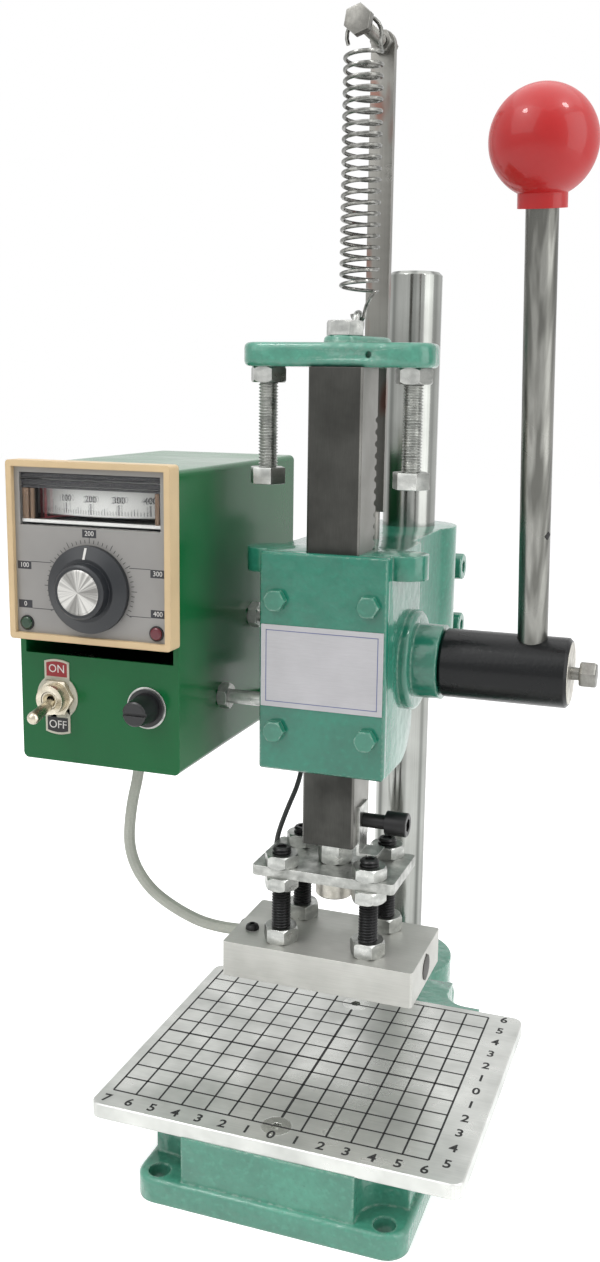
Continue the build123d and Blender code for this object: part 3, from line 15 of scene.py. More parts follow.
import bmesh
import bpy
from mathutils import Matrix, Vector
from mathutils.bvhtree import BVHTree
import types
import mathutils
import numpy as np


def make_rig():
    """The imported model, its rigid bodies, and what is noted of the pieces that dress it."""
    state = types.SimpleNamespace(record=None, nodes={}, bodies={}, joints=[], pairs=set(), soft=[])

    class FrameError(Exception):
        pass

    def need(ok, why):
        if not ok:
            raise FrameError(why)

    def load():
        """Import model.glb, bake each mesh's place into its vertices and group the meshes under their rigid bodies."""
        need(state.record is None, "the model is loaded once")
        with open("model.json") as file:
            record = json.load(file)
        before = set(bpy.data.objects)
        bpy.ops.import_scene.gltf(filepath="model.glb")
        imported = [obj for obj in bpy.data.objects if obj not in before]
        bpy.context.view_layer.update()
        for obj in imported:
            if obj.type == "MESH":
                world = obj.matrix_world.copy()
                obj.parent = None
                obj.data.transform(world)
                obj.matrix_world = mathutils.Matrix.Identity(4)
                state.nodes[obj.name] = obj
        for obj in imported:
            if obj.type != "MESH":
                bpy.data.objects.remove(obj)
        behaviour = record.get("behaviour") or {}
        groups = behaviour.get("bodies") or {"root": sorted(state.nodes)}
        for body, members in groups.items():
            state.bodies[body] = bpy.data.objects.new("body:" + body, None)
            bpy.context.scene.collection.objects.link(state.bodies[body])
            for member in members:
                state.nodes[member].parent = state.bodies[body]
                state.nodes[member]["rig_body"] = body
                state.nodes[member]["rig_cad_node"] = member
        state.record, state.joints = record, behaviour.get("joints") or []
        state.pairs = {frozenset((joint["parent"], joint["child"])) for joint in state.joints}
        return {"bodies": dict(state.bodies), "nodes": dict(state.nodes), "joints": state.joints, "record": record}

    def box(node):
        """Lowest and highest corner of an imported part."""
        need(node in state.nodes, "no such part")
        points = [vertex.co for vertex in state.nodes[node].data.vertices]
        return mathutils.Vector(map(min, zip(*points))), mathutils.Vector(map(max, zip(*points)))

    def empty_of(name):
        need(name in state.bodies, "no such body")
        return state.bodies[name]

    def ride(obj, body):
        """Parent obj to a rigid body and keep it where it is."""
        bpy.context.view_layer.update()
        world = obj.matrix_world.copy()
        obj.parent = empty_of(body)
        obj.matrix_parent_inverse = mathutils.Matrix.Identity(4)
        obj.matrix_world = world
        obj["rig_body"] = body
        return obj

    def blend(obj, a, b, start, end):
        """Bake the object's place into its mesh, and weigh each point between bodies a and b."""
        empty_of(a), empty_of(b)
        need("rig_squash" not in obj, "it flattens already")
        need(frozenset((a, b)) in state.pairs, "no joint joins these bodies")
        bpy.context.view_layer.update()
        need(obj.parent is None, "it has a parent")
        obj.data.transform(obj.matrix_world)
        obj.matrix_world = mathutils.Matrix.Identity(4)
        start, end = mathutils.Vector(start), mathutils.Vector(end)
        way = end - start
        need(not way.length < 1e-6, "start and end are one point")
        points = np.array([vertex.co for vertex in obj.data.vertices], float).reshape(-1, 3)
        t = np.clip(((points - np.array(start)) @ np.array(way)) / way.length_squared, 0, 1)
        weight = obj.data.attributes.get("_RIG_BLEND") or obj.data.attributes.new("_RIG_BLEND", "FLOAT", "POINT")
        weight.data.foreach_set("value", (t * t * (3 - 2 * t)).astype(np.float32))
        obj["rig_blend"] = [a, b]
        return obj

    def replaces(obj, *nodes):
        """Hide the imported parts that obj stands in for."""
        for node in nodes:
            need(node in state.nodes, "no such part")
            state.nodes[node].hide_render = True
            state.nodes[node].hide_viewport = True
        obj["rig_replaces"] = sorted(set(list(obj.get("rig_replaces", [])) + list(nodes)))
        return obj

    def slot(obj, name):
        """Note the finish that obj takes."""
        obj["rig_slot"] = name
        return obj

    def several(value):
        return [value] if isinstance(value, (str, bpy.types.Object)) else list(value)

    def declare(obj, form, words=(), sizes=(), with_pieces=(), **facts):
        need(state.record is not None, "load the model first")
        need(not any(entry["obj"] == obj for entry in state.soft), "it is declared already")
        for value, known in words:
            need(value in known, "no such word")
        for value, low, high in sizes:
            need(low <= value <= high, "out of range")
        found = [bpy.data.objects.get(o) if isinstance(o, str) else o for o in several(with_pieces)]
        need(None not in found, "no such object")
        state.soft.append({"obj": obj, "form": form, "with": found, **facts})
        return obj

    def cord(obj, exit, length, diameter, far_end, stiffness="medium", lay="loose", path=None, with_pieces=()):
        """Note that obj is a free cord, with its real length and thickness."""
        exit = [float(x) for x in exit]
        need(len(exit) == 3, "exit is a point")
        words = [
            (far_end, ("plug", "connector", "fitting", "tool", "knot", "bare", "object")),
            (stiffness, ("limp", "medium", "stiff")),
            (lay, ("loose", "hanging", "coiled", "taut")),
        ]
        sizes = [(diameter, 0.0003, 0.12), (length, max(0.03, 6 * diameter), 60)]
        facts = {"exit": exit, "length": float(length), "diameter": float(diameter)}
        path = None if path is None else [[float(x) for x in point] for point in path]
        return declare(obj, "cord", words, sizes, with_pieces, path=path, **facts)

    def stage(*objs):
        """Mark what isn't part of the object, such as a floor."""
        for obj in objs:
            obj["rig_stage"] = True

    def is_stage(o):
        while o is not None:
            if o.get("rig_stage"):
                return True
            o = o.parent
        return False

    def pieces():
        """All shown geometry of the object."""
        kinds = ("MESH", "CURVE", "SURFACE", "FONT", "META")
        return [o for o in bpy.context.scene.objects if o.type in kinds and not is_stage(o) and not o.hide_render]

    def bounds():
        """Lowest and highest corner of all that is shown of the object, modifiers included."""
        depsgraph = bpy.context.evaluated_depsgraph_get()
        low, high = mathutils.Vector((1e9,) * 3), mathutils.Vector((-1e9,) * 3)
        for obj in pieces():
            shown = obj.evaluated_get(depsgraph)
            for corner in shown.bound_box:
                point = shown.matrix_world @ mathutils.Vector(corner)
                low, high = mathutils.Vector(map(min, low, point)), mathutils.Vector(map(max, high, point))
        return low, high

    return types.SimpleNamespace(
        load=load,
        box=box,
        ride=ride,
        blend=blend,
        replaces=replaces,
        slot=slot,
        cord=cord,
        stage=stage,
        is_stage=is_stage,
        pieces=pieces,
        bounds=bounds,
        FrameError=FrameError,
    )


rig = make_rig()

LOG = logging.getLogger("press")
SIZE_FILE = "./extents.json"
MM = 0.001

# The photograph's pixels and the camera's sensor width in millimetres.
FRAME_PIXELS = (600, 1262)
SENSOR_WIDTH = 36.0

# How finely shapes are made: distances in millimetres, angles in degrees.
MERGE_DISTANCE = 0.0005
SMOOTH_DEGREES = 35.0
SOFT_STEPS = 2
SPLINE_STEPS = 16
TUBE_STEPS = 3
LETTER_STEPS = 3
ROUND_SAMPLES = 4

# Printing and threads: a capital's share of its font size, how far print stands out, a
# thread's depth as a share of its pitch, and the turns wound past each end before the cut.
CAPITAL_SHARE = 0.69
PRINT_LIFT = 0.03
THREAD_SHARE = 0.6
SPARE_TURNS = 2

# How a casting's copy is rounded: what merges, what counts as flat and as a corner, and
# where the look along each face starts and how far it goes.
COPY_MERGE_DISTANCE = 0.002
FLAT_DEGREES = 2.0
CORNER_DEGREES = 50.0
EASE_STEPS = 3
PROBE_INSET = 0.6
PROBE_LIFT = 0.05
PROBE_REACH = 60.0

Point = tuple[float, float, float]
Colour = tuple[float, float, float, float]


class Body(Enum):
    """The frame's bodies that the added pieces ride on."""

    BASE = "base"
    HEAD = "head"
    RAM = "ram_carriage"
    LEVER = "press_lever"
    DIAL = "temperature_dial"


class Slot(Enum):
    """The record's material slots that the added pieces take their finish from."""

    BLACK_PLASTIC = "black_plastic"
    BLACK_STEEL = "black_steel"
    DARK_WIRE = "dark_wire"
    GLASS_SLEEVE = "glass_sleeve"
    GREEN_PAINT = "green_paint"
    GREY_PLASTIC = "grey_plastic"
    PLATE_METAL = "plate_metal"
    POINTER_METAL = "pointer_metal"
    RED_PLASTIC = "red_plastic"
    SPRING_STEEL = "spring_steel"
    WHITE_SCALE = "white_scale"
    ZINC_STEEL = "zinc_steel"


class Aim(Enum):
    """Turns that lay a shape made along +Z on another axis."""

    UP = Matrix.Identity(4)
    FRONT = Matrix.Rotation(math.pi / 2, 4, "X")
    BACK = Matrix.Rotation(-math.pi / 2, 4, "X")
    RIGHT = Matrix.Rotation(math.pi / 2, 4, "Y")


def srgb(red: int, green: int, blue: int) -> Colour:
    """Turn a colour as it is seen on a screen into the linear one that shaders take.

    Args:
        red: The red value, 0 to 255.
        green: The green value, 0 to 255.
        blue: The blue value, 0 to 255.

    Returns:
        The linear colour with full opacity.
    """
    linear = []
    for value in (red, green, blue):
        share = value / 255
        linear.append(share / 12.92 if share <= 0.04045 else ((share + 0.055) / 1.055) ** 2.4)
    return (linear[0], linear[1], linear[2], 1.0)


def shade(colour: Colour, factor: float) -> Colour:
    """Make a colour lighter or darker.

    Args:
        colour: The colour to start from.
        factor: Above 1 for lighter, below 1 for darker.

    Returns:
        The new colour, each channel kept at most 1.
    """
    red, green, blue = (min(1.0, channel * factor) for channel in colour[:3])
    return (red, green, blue, 1.0)


class Graph:
    """A material's node graph, built one call at a time on Object coordinates."""

    def __init__(self, name: str) -> None:
        """Start an empty material with a Principled shader.

        Args:
            name: The material's name.
        """
        self.material = bpy.data.materials.new(name)
        self.material.use_nodes = True
        self.tree = self.material.node_tree
        self.tree.nodes.clear()
        output = self.tree.nodes.new("ShaderNodeOutputMaterial")
        self.shader = self.tree.nodes.new("ShaderNodeBsdfPrincipled")
        self.tree.links.new(self.shader.outputs[0], output.inputs["Surface"])
        self.place = self.tree.nodes.new("ShaderNodeTexCoord").outputs["Object"]

    def put(self, socket: bpy.types.NodeSocket, value: object) -> None:
        """Link a socket, or set its own value.

        Args:
            socket: The input to fill.
            value: Another node's output, or a plain value.
        """
        if isinstance(value, bpy.types.NodeSocket):
            self.tree.links.new(value, socket)
        else:
            socket.default_value = value

    def surface(self, **values: object) -> None:
        """Fill the shader's inputs, named in lower case with underscores.

        Args:
            values: Outputs or plain values by input name.
        """
        for name, value in values.items():
            self.put(self.shader.inputs[name.replace("_", " ").title().replace("Ior", "IOR")], value)

    def texture(
        self, place: bpy.types.NodeSocket, scale: float, detail: float, rough: float
    ) -> bpy.types.NodeSocket:
        """Make a noise pattern over some coordinates.

        Args:
            place: The coordinates.
            scale: How many features there are to a unit.
            detail: How many finer octaves are added.
            rough: How strong the finer octaves are.

        Returns:
            The pattern, about 0 to 1.
        """
        node = self.tree.nodes.new("ShaderNodeTexNoise")
        self.put(node.inputs["Vector"], place)
        self.put(node.inputs["Scale"], scale)
        self.put(node.inputs["Detail"], detail)
        self.put(node.inputs["Roughness"], rough)
        return node.outputs["Fac"]

    def noise(self, size: Point | float, detail: float = 3.0, rough: float = 0.55) -> bpy.types.NodeSocket:
        """Make a noise pattern with a real feature size.

        Args:
            size: The size of a feature in millimetres, or its sizes along X, Y and Z.
            detail: How many finer octaves are added.
            rough: How strong the finer octaves are.

        Returns:
            The pattern, about 0 to 1.
        """
        sizes = (size, size, size) if isinstance(size, float) else size
        mapping = self.tree.nodes.new("ShaderNodeMapping")
        mapping.inputs["Scale"].default_value = [1 / (each * MM) for each in sizes]
        self.put(mapping.inputs["Vector"], self.place)
        return self.texture(mapping.outputs["Vector"], 1.0, detail, rough)

    def spread(
        self, value: bpy.types.NodeSocket, low: float, high: float, start: float = 0.3, end: float = 0.7
    ) -> bpy.types.NodeSocket:
        """Spread a pattern's middle over a range of values.

        Args:
            value: The pattern.
            low: The result at the range's start.
            high: The result at the range's end.
            start: The pattern's value that gives low.
            end: The pattern's value that gives high.

        Returns:
            The spread value.
        """
        node = self.tree.nodes.new("ShaderNodeMapRange")
        self.put(node.inputs["Value"], value)
        self.put(node.inputs["From Min"], start)
        self.put(node.inputs["From Max"], end)
        self.put(node.inputs["To Min"], low)
        self.put(node.inputs["To Max"], high)
        return node.outputs["Result"]

    def blend(self, share: object, first: object, second: object) -> bpy.types.NodeSocket:
        """Mix two colours.

        Args:
            share: How much of the second colour there is.
            first: The first colour.
            second: The second colour.

        Returns:
            The mixed colour.
        """
        node = self.tree.nodes.new("ShaderNodeMix")
        node.data_type = "RGBA"
        self.put(node.inputs[0], share)
        self.put(node.inputs[6], first)
        self.put(node.inputs[7], second)
        return node.outputs[2]

    def mottle(
        self, pattern: bpy.types.NodeSocket, colour: Colour, dark: float, light: float
    ) -> bpy.types.NodeSocket:
        """Vary a colour's lightness with a pattern.

        Args:
            pattern: The pattern.
            colour: The colour.
            dark: The factor at the pattern's low places.
            light: The factor at its high places.

        Returns:
            The varied colour.
        """
        return self.blend(self.spread(pattern, 0.0, 1.0), shade(colour, dark), shade(colour, light))

    def reckon(self, kind: str, operation: str, *values: object) -> bpy.types.Node:
        """Work out a result from one or more values.

        Args:
            kind: Math for numbers, VectorMath for vectors.
            operation: The node's operation.
            values: Outputs or plain values, in the order of the node's inputs.

        Returns:
            The node, whose outputs hold the result.
        """
        node = self.tree.nodes.new(f"ShaderNode{kind}")
        node.operation = operation
        for socket, value in zip(node.inputs, values):
            self.put(socket, value)
        return node

    def times(self, first: object, second: object) -> bpy.types.NodeSocket:
        """Multiply two values.

        Args:
            first: The first value.
            second: The second value.

        Returns:
            The product.
        """
        return self.reckon("Math", "MULTIPLY", first, second).outputs[0]

    def rounded(self, radius: float) -> bpy.types.NodeSocket:
        """Give the surface a small edge round.

        Args:
            radius: The round's radius in millimetres.

        Returns:
            The rounded normal, or the plain one where the radius is 0.
        """
        if radius == 0:
            return self.tree.nodes.new("ShaderNodeNewGeometry").outputs["Normal"]
        node = self.tree.nodes.new("ShaderNodeBevel")
        node.samples = ROUND_SAMPLES
        self.put(node.inputs["Radius"], radius * MM)
        return node.outputs["Normal"]

    def edges(self, radius: float) -> bpy.types.NodeSocket:
        """Find the edges, where paint and plating wear and where edge highlights are painted.

        Args:
            radius: How far from an edge the wear and painted highlight reach, in millimetres.

        Returns:
            1 on an edge, 0 away from it.
        """
        geometry = self.tree.nodes.new("ShaderNodeNewGeometry")
        likeness = self.reckon("VectorMath", "DOT_PRODUCT", geometry.outputs["Normal"], self.rounded(radius))
        return self.spread(likeness.outputs["Value"], 1.0, 0.0, start=0.86, end=0.99)

    def sideways(self) -> bpy.types.NodeSocket:
        """Find the faces that look to the left or the right, which are given a lighter colour.

        Returns:
            1 on such a face, 0 on the others.
        """
        facing = self.tree.nodes.new("ShaderNodeTexCoord")
        parts = self.tree.nodes.new("ShaderNodeSeparateXYZ")
        self.put(parts.inputs[0], facing.outputs["Normal"])
        share = self.reckon("Math", "ABSOLUTE", parts.outputs["X"]).outputs[0]
        return self.spread(share, 0.0, 1.0, start=0.6, end=0.9)

    def relief(
        self, heights: Sequence[tuple[bpy.types.NodeSocket, float]], normal: bpy.types.NodeSocket
    ) -> bpy.types.NodeSocket:
        """Lay bumps over a normal, one after another.

        Args:
            heights: Patterns, each with its height in millimetres.
            normal: The normal to start from.

        Returns:
            The bumped normal.
        """
        for pattern, height in heights:
            node = self.tree.nodes.new("ShaderNodeBump")
            self.put(node.inputs["Distance"], height * MM)
            self.put(node.inputs["Height"], pattern)
            self.put(node.inputs["Normal"], normal)
            normal = node.outputs["Normal"]
        return normal


@dataclass(frozen=True)
class Finish:
    """What every finish has: a name, a colour and a small edge round."""

    name: str
    colour: Colour
    edge_round: float = 0.35

    def material(self) -> bpy.types.Material:
        """Give the finish's material, made once.

        Returns:
            The material.
        """
        title = f"press_{self.name}"
        found = bpy.data.materials.get(title)
        if found is not None:
            return found
        graph = Graph(title)
        self.build(graph)
        return graph.material

    def build(self, graph: Graph) -> None:
        """Fill the graph.

        Args:
            graph: The new material's graph.
        """
        raise NotImplementedError


@dataclass(frozen=True)
class CastPaint(Finish):
    """Gloss enamel brushed over a rough casting: lumps, dust, painted glints, and edges lightened partly by wear and
    partly by painted highlight.
    """

    edge_round: float = 1.4
    # The edges' lighter green: partly rubbed paint, partly painted highlight.
    worn: Colour = srgb(150, 190, 172)
    cloud: float = 22.0
    lump: float = 5.0
    lump_height: float = 0.3
    pimple: float = 2.4
    pimple_height: float = 0.1
    grit: float = 0.9
    grit_height: float = 0.02
    roughness: float = 0.16
    wear: float = 0.75
    wear_reach: float = 1.2

    def build(self, graph: Graph) -> None:
        """Fill the graph with the enamel.

        Args:
            graph: The new material's graph.
        """
        cloud = graph.noise(self.cloud, detail=2.0)
        lumps = graph.noise(self.lump, detail=1.0, rough=0.4)
        pimples = graph.noise(self.pimple, detail=1.0)
        grit = graph.noise(self.grit, detail=2.0)
        dark_spots = graph.spread(pimples, 0.0, 0.35, start=0.5, end=0.75)
        # Painted glints: the colour is lighter where the pimples are low, standing in for small highlights.
        painted_glints = graph.spread(pimples, 0.4, 0.0, start=0.28, end=0.42)
        specks = graph.spread(grit, 0.0, 0.5, start=0.66, end=0.74)
        tone = graph.mottle(cloud, self.colour, 0.84, 1.12)
        for share, factor in ((dark_spots, 0.72), (painted_glints, 1.35), (specks, 0.62)):
            tone = graph.blend(share, tone, shade(self.colour, factor))
        # Lighter edges, patchy with the pimples: partly worn paint, partly painted edge highlight.
        patchy = graph.spread(pimples, 0.1, self.wear, start=0.4, end=0.62)
        rubbed_and_lit = graph.times(graph.edges(self.wear_reach), patchy)
        graph.surface(
            base_color=graph.blend(rubbed_and_lit, tone, self.worn),
            roughness=graph.spread(cloud, self.roughness * 0.8, self.roughness * 1.3),
            coat_weight=0.4,
            coat_roughness=0.04,
            normal=graph.relief(
                [(lumps, self.lump_height), (pimples, self.pimple_height), (grit, self.grit_height)],
                graph.rounded(self.edge_round),
            ),
        )


@dataclass(frozen=True)
class SheetPaint(Finish):
    """Smooth gloss paint on folded sheet, with a faint orange peel."""

    roughness: float = 0.22
    cloud: float = 38.0
    peel: float = 1.6
    peel_height: float = 0.02
    dust: float = 0.7
    wear: float = 0.3
    wear_reach: float = 0.6
    gloss: float = 0.35

    def build(self, graph: Graph) -> None:
        """Fill the graph with the sheet paint.

        Args:
            graph: The new material's graph.
        """
        cloud = graph.noise(self.cloud, detail=2.0)
        peel = graph.noise(self.peel, detail=1.0)
        dust = graph.spread(graph.noise(self.dust, detail=1.0), 0.0, 0.25, start=0.68, end=0.78)
        tone = graph.blend(dust, graph.mottle(cloud, self.colour, 0.95, 1.05), shade(self.colour, 1.7))
        # Lighter edges: partly worn paint, partly painted edge highlight.
        rubbed_and_lit = graph.times(graph.edges(self.wear_reach), self.wear)
        graph.surface(
            base_color=graph.blend(rubbed_and_lit, tone, shade(self.colour, 1.9)),
            roughness=graph.spread(cloud, self.roughness * 0.8, self.roughness * 1.2),
            specular_ior_level=self.gloss,
            coat_weight=0.12,
            coat_roughness=0.06,
            normal=graph.relief([(peel, self.peel_height)], graph.rounded(self.edge_round)),
        )


@dataclass(frozen=True)
class Metal(Finish):
    """Bare or plated metal with its grain, its dull patches and bright edges."""

    dull: Colour = srgb(120, 120, 118)
    grain: Point = (0.5, 0.5, 0.5)
    grain_height: float = 0.01
    roughness: float = 0.3
    patch: float = 14.0
    patch_share: float = 0.5
    metallic: float = 1.0
    bright_edge: float = 0.35
    bright_reach: float = 0.5
    streak: Point = (5.0, 5.0, 5.0)
    streak_share: float = 0.0
    streak_start: float = 0.42
    streak_end: float = 0.62
    streak_colour: Colour = srgb(96, 96, 94)
    side_share: float = 0.0
    side_colour: Colour = srgb(150, 149, 144)

    def build(self, graph: Graph) -> None:
        """Fill the graph with the metal.

        Args:
            graph: The new material's graph.
        """
        grain = graph.noise(self.grain, rough=0.6)
        patches = graph.noise(self.patch)
        tone = graph.blend(graph.spread(patches, 0.0, self.patch_share), self.colour, self.dull)
        tone = graph.blend(graph.spread(grain, 0.0, 0.22), tone, shade(self.dull, 0.7))
        # Streaks: rust on the post, and painted dark reflection bands on the column and the rods.
        if self.streak_share > 0:
            streaks = graph.noise(self.streak, detail=1.0, rough=0.4)
            share = graph.spread(streaks, 0.0, self.streak_share, self.streak_start, self.streak_end)
            tone = graph.blend(share, tone, self.streak_colour)
        if self.side_share > 0:
            tone = graph.blend(graph.times(graph.sideways(), self.side_share), tone, self.side_colour)
        bright = graph.times(graph.edges(self.bright_reach), self.bright_edge)
        graph.surface(
            base_color=graph.blend(bright, tone, shade(self.colour, 1.35)),
            metallic=self.metallic,
            roughness=graph.spread(patches, self.roughness * 0.8, self.roughness * 1.25),
            normal=graph.relief([(grain, self.grain_height)], graph.rounded(self.edge_round)),
        )


@dataclass(frozen=True)
class SpunMetal(Finish):
    """A bright disc with bright and dull spokes painted on, the reflection that its fine turning marks throw."""

    dull: Colour = srgb(132, 131, 128)
    centre: Point = (0.0, 0.0, 0.0)
    spokes: float = 1.7
    ring: float = 0.3
    ring_height: float = 0.004
    roughness: float = 0.18

    def build(self, graph: Graph) -> None:
        """Fill the graph with the spun metal.

        Args:
            graph: The new material's graph.
        """
        centre = [axis * MM for axis in self.centre]
        around = graph.reckon("VectorMath", "SUBTRACT", graph.place, centre).outputs[0]
        flat = graph.reckon("VectorMath", "MULTIPLY", around, (1.0, 0.0, 1.0)).outputs[0]
        heading = graph.reckon("VectorMath", "NORMALIZE", flat).outputs[0]
        spokes = graph.texture(heading, self.spokes, detail=5.0, rough=0.75)
        rings = graph.noise(self.ring, detail=2.0)
        # Painted reflection: the spokes' bright and dull colour, by direction round the centre.
        share = graph.spread(spokes, 0.0, 1.0, start=0.42, end=0.58)
        graph.surface(
            base_color=graph.blend(share, self.colour, self.dull),
            metallic=1.0,
            roughness=graph.spread(spokes, self.roughness, self.roughness * 1.8),
            normal=graph.relief([(rings, self.ring_height)], graph.rounded(self.edge_round)),
        )


@dataclass(frozen=True)
class Moulded(Finish):
    """Moulded plastic or rubber with a fine grain."""

    roughness: float = 0.35
    cloud: float = 16.0
    grain: float = 0.35
    grain_height: float = 0.01
    wear: float = 0.3
    wear_reach: float = 0.4
    coat: float = 0.0
    gloss: float = 0.5

    def build(self, graph: Graph) -> None:
        """Fill the graph with the plastic.

        Args:
            graph: The new material's graph.
        """
        cloud = graph.noise(self.cloud, detail=2.0)
        grain = graph.noise(self.grain, detail=2.0)
        tone = graph.mottle(cloud, self.colour, 0.95, 1.05)
        # Lighter edges: partly rubbed plastic, partly painted edge highlight.
        rubbed_and_lit = graph.times(graph.edges(self.wear_reach), self.wear)
        graph.surface(
            base_color=graph.blend(rubbed_and_lit, tone, shade(self.colour, 1.45)),
            roughness=graph.spread(cloud, self.roughness * 0.85, self.roughness * 1.2),
            specular_ior_level=self.gloss,
            coat_weight=self.coat,
            coat_roughness=0.05,
            normal=graph.relief([(grain, self.grain_height)], graph.rounded(self.edge_round)),
        )


@dataclass(frozen=True)
class Clear(Finish):
    """A clear plastic pane with fine wipe marks."""

    wipe: Point = (6.0, 6.0, 0.6)

    def build(self, graph: Graph) -> None:
        """Fill the graph with the clear plastic.

        Args:
            graph: The new material's graph.
        """
        wipes = graph.noise(self.wipe, detail=2.0)
        graph.surface(
            base_color=self.colour,
            roughness=graph.spread(wipes, 0.01, 0.06),
            transmission_weight=1.0,
            ior=1.3,
            alpha=0.3,
        )


@dataclass(frozen=True)
class Sleeve(Finish):
    """A woven glass-fibre sleeve, its threads crossing round the cable."""

    pitch: float = 0.9
    thread_height: float = 0.12
    soil: float = 12.0

    def build(self, graph: Graph) -> None:
        """Fill the graph with the sleeve.

        Args:
            graph: The new material's graph.
        """
        threads = graph.noise((self.pitch, self.pitch, self.pitch / 2), detail=1.0)
        soil = graph.noise(self.soil, detail=2.0)
        tone = graph.blend(graph.spread(soil, 0.0, 0.6), self.colour, shade(self.colour, 0.82))
        graph.surface(
            base_color=graph.blend(graph.spread(threads, 0.25, 0.0), tone, shade(self.colour, 0.6)),
            roughness=0.7,
            sheen_weight=0.15,
            normal=graph.relief([(threads, self.thread_height)], graph.rounded(self.edge_round)),
        )


# On these castings and bolts the lighter edges are partly wear and partly painted highlight, and the light spots are
# painted glints.
CASTING_GREEN = CastPaint("casting_green", srgb(44, 124, 102))
COVER_GREEN = CastPaint("cover_green", srgb(18, 118, 95), lump=8.0, lump_height=0.4)
BASE_GREEN = CastPaint(
    "base_green", srgb(72, 143, 121), lump=7.0, lump_height=0.8, pimple_height=0.28, wear=0.9, wear_reach=1.8,
)
BRACKET_GREEN = CastPaint(
    "bracket_green", srgb(72, 146, 124), 2.2, lump=6.0, lump_height=0.7, pimple_height=0.24, wear=1.0,
    wear_reach=2.4,
)
BOLT_GREEN = CastPaint(
    "bolt_green", srgb(46, 124, 102), 0.7, lump=2.2, lump_height=0.1, pimple_height=0.04, wear=1.0,
)
BOX_GREEN = SheetPaint("box_green", srgb(10, 96, 50), gloss=0.2)
# Column: its wide dark vertical streaks are painted reflection bands; the fine grain along it is its polish.
COLUMN_STEEL = Metal(
    "column_steel", srgb(168, 170, 166), 0.5, dull=srgb(122, 123, 119), grain=(0.7, 0.7, 90.0),
    grain_height=0.004, roughness=0.15, patch=30.0, streak=(5.5, 5.5, 900.0), streak_share=0.85,
    streak_colour=srgb(88, 91, 87),
)
# Rods: their dark streaks along the length are painted reflection bands.
ROD_STEEL = Metal(
    "rod_steel", srgb(142, 142, 137), 0.4, dull=srgb(114, 114, 110), grain=(0.6, 0.6, 60.0),
    grain_height=0.004, roughness=0.3, patch=40.0, streak=(3.2, 3.2, 900.0), streak_share=0.8,
    streak_colour=srgb(84, 84, 80),
)
# Its faces that look left and right are a lighter grey than its front.
RAM_STEEL = Metal(
    "ram_steel", srgb(76, 76, 73), 0.5, dull=srgb(52, 52, 50), grain=(0.25, 0.25, 5.0),
    grain_height=0.012, roughness=0.42, patch=18.0, patch_share=0.8, side_share=0.8,
)
GROUND_STEEL = Metal("ground_steel", srgb(150, 150, 146), 0.3, roughness=0.3, grain=(0.3, 0.3, 3.0))
ZINC = Metal(
    "zinc_plate", srgb(198, 199, 195), 0.3, dull=srgb(140, 143, 140), roughness=0.32, patch=4.0,
    patch_share=0.6, streak=(6.0, 6.0, 3.0), streak_share=0.35, streak_colour=srgb(100, 102, 100),
)
BLACK_STEEL = Metal(
    "black_steel", srgb(30, 30, 31), 0.25, dull=srgb(20, 20, 20), roughness=0.38, metallic=0.4, patch=6.0,
)
SPRING_WIRE = Metal(
    "spring_wire", srgb(150, 150, 146), 0.0, dull=srgb(78, 78, 74), roughness=0.24, patch=2.5,
    patch_share=0.9,
)
TABLE_METAL = Metal(
    "table_metal", srgb(226, 227, 223), 0.5, dull=srgb(178, 180, 176), grain=(14.0, 0.35, 14.0),
    grain_height=0.004, roughness=0.3, patch=24.0, patch_share=0.85, metallic=0.8,
)
BLOCK_METAL = Metal(
    "block_metal", srgb(196, 196, 191), 0.4, dull=srgb(172, 172, 167), grain=(9.0, 0.4, 0.4),
    grain_height=0.008, roughness=0.46, patch=22.0, metallic=0.75,
)
PLATE_METAL = Metal(
    "plate_metal_rough", srgb(202, 203, 199), 0.5, dull=srgb(136, 138, 134), grain=(1.2, 1.2, 0.6),
    grain_height=0.16, roughness=0.38, patch=6.0, patch_share=0.9, metallic=0.85,
)
# The spun cap's bright and dull spokes are painted reflection.
SPUN_METAL = SpunMetal("spun_metal", srgb(200, 199, 195), 0.1, centre=(-90.0, -36.0, 233.6))
DULL_STEEL = Metal("dull_steel", srgb(138, 137, 132), 0.3, dull=srgb(88, 87, 84), roughness=0.34, patch=3.0)
SCREW_METAL = Metal(
    "screw_metal", srgb(214, 215, 211), 0.2, dull=srgb(168, 170, 166), roughness=0.22, patch=5.0,
)
NICKEL = Metal(
    "warm_nickel", srgb(214, 207, 190), 0.3, dull=srgb(168, 160, 142), roughness=0.26, patch=3.0,
    patch_share=0.8,
)
POST_STEEL = Metal(
    "post_steel", srgb(142, 141, 136), 0.4, dull=srgb(104, 103, 99), grain=(0.6, 0.6, 60.0),
    grain_height=0.006, roughness=0.32, patch=30.0, streak=(7.0, 7.0, 26.0), streak_share=0.75,
    streak_colour=srgb(120, 78, 66), streak_start=0.58, streak_end=0.7,
)
END_METAL = Metal(
    "end_metal", srgb(206, 203, 194), 0.2, dull=srgb(160, 157, 148), roughness=0.4, patch=4.0,
    patch_share=0.8,
)
LABEL_METAL = Metal(
    "label_metal", srgb(190, 189, 192), 0.1, dull=srgb(176, 175, 178), grain=(6.0, 0.3, 0.3),
    grain_height=0.002, roughness=0.4, patch=16.0, metallic=0.2,
)
BEZEL_CREAM = Moulded("bezel_cream", srgb(214, 188, 147), 0.8, roughness=0.42)
FACE_GREY = Moulded("face_grey", srgb(150, 148, 145), 0.2, roughness=0.45)
BLACK_PLASTIC = Moulded("black_plastic", srgb(22, 23, 25), 0.4, roughness=0.33)
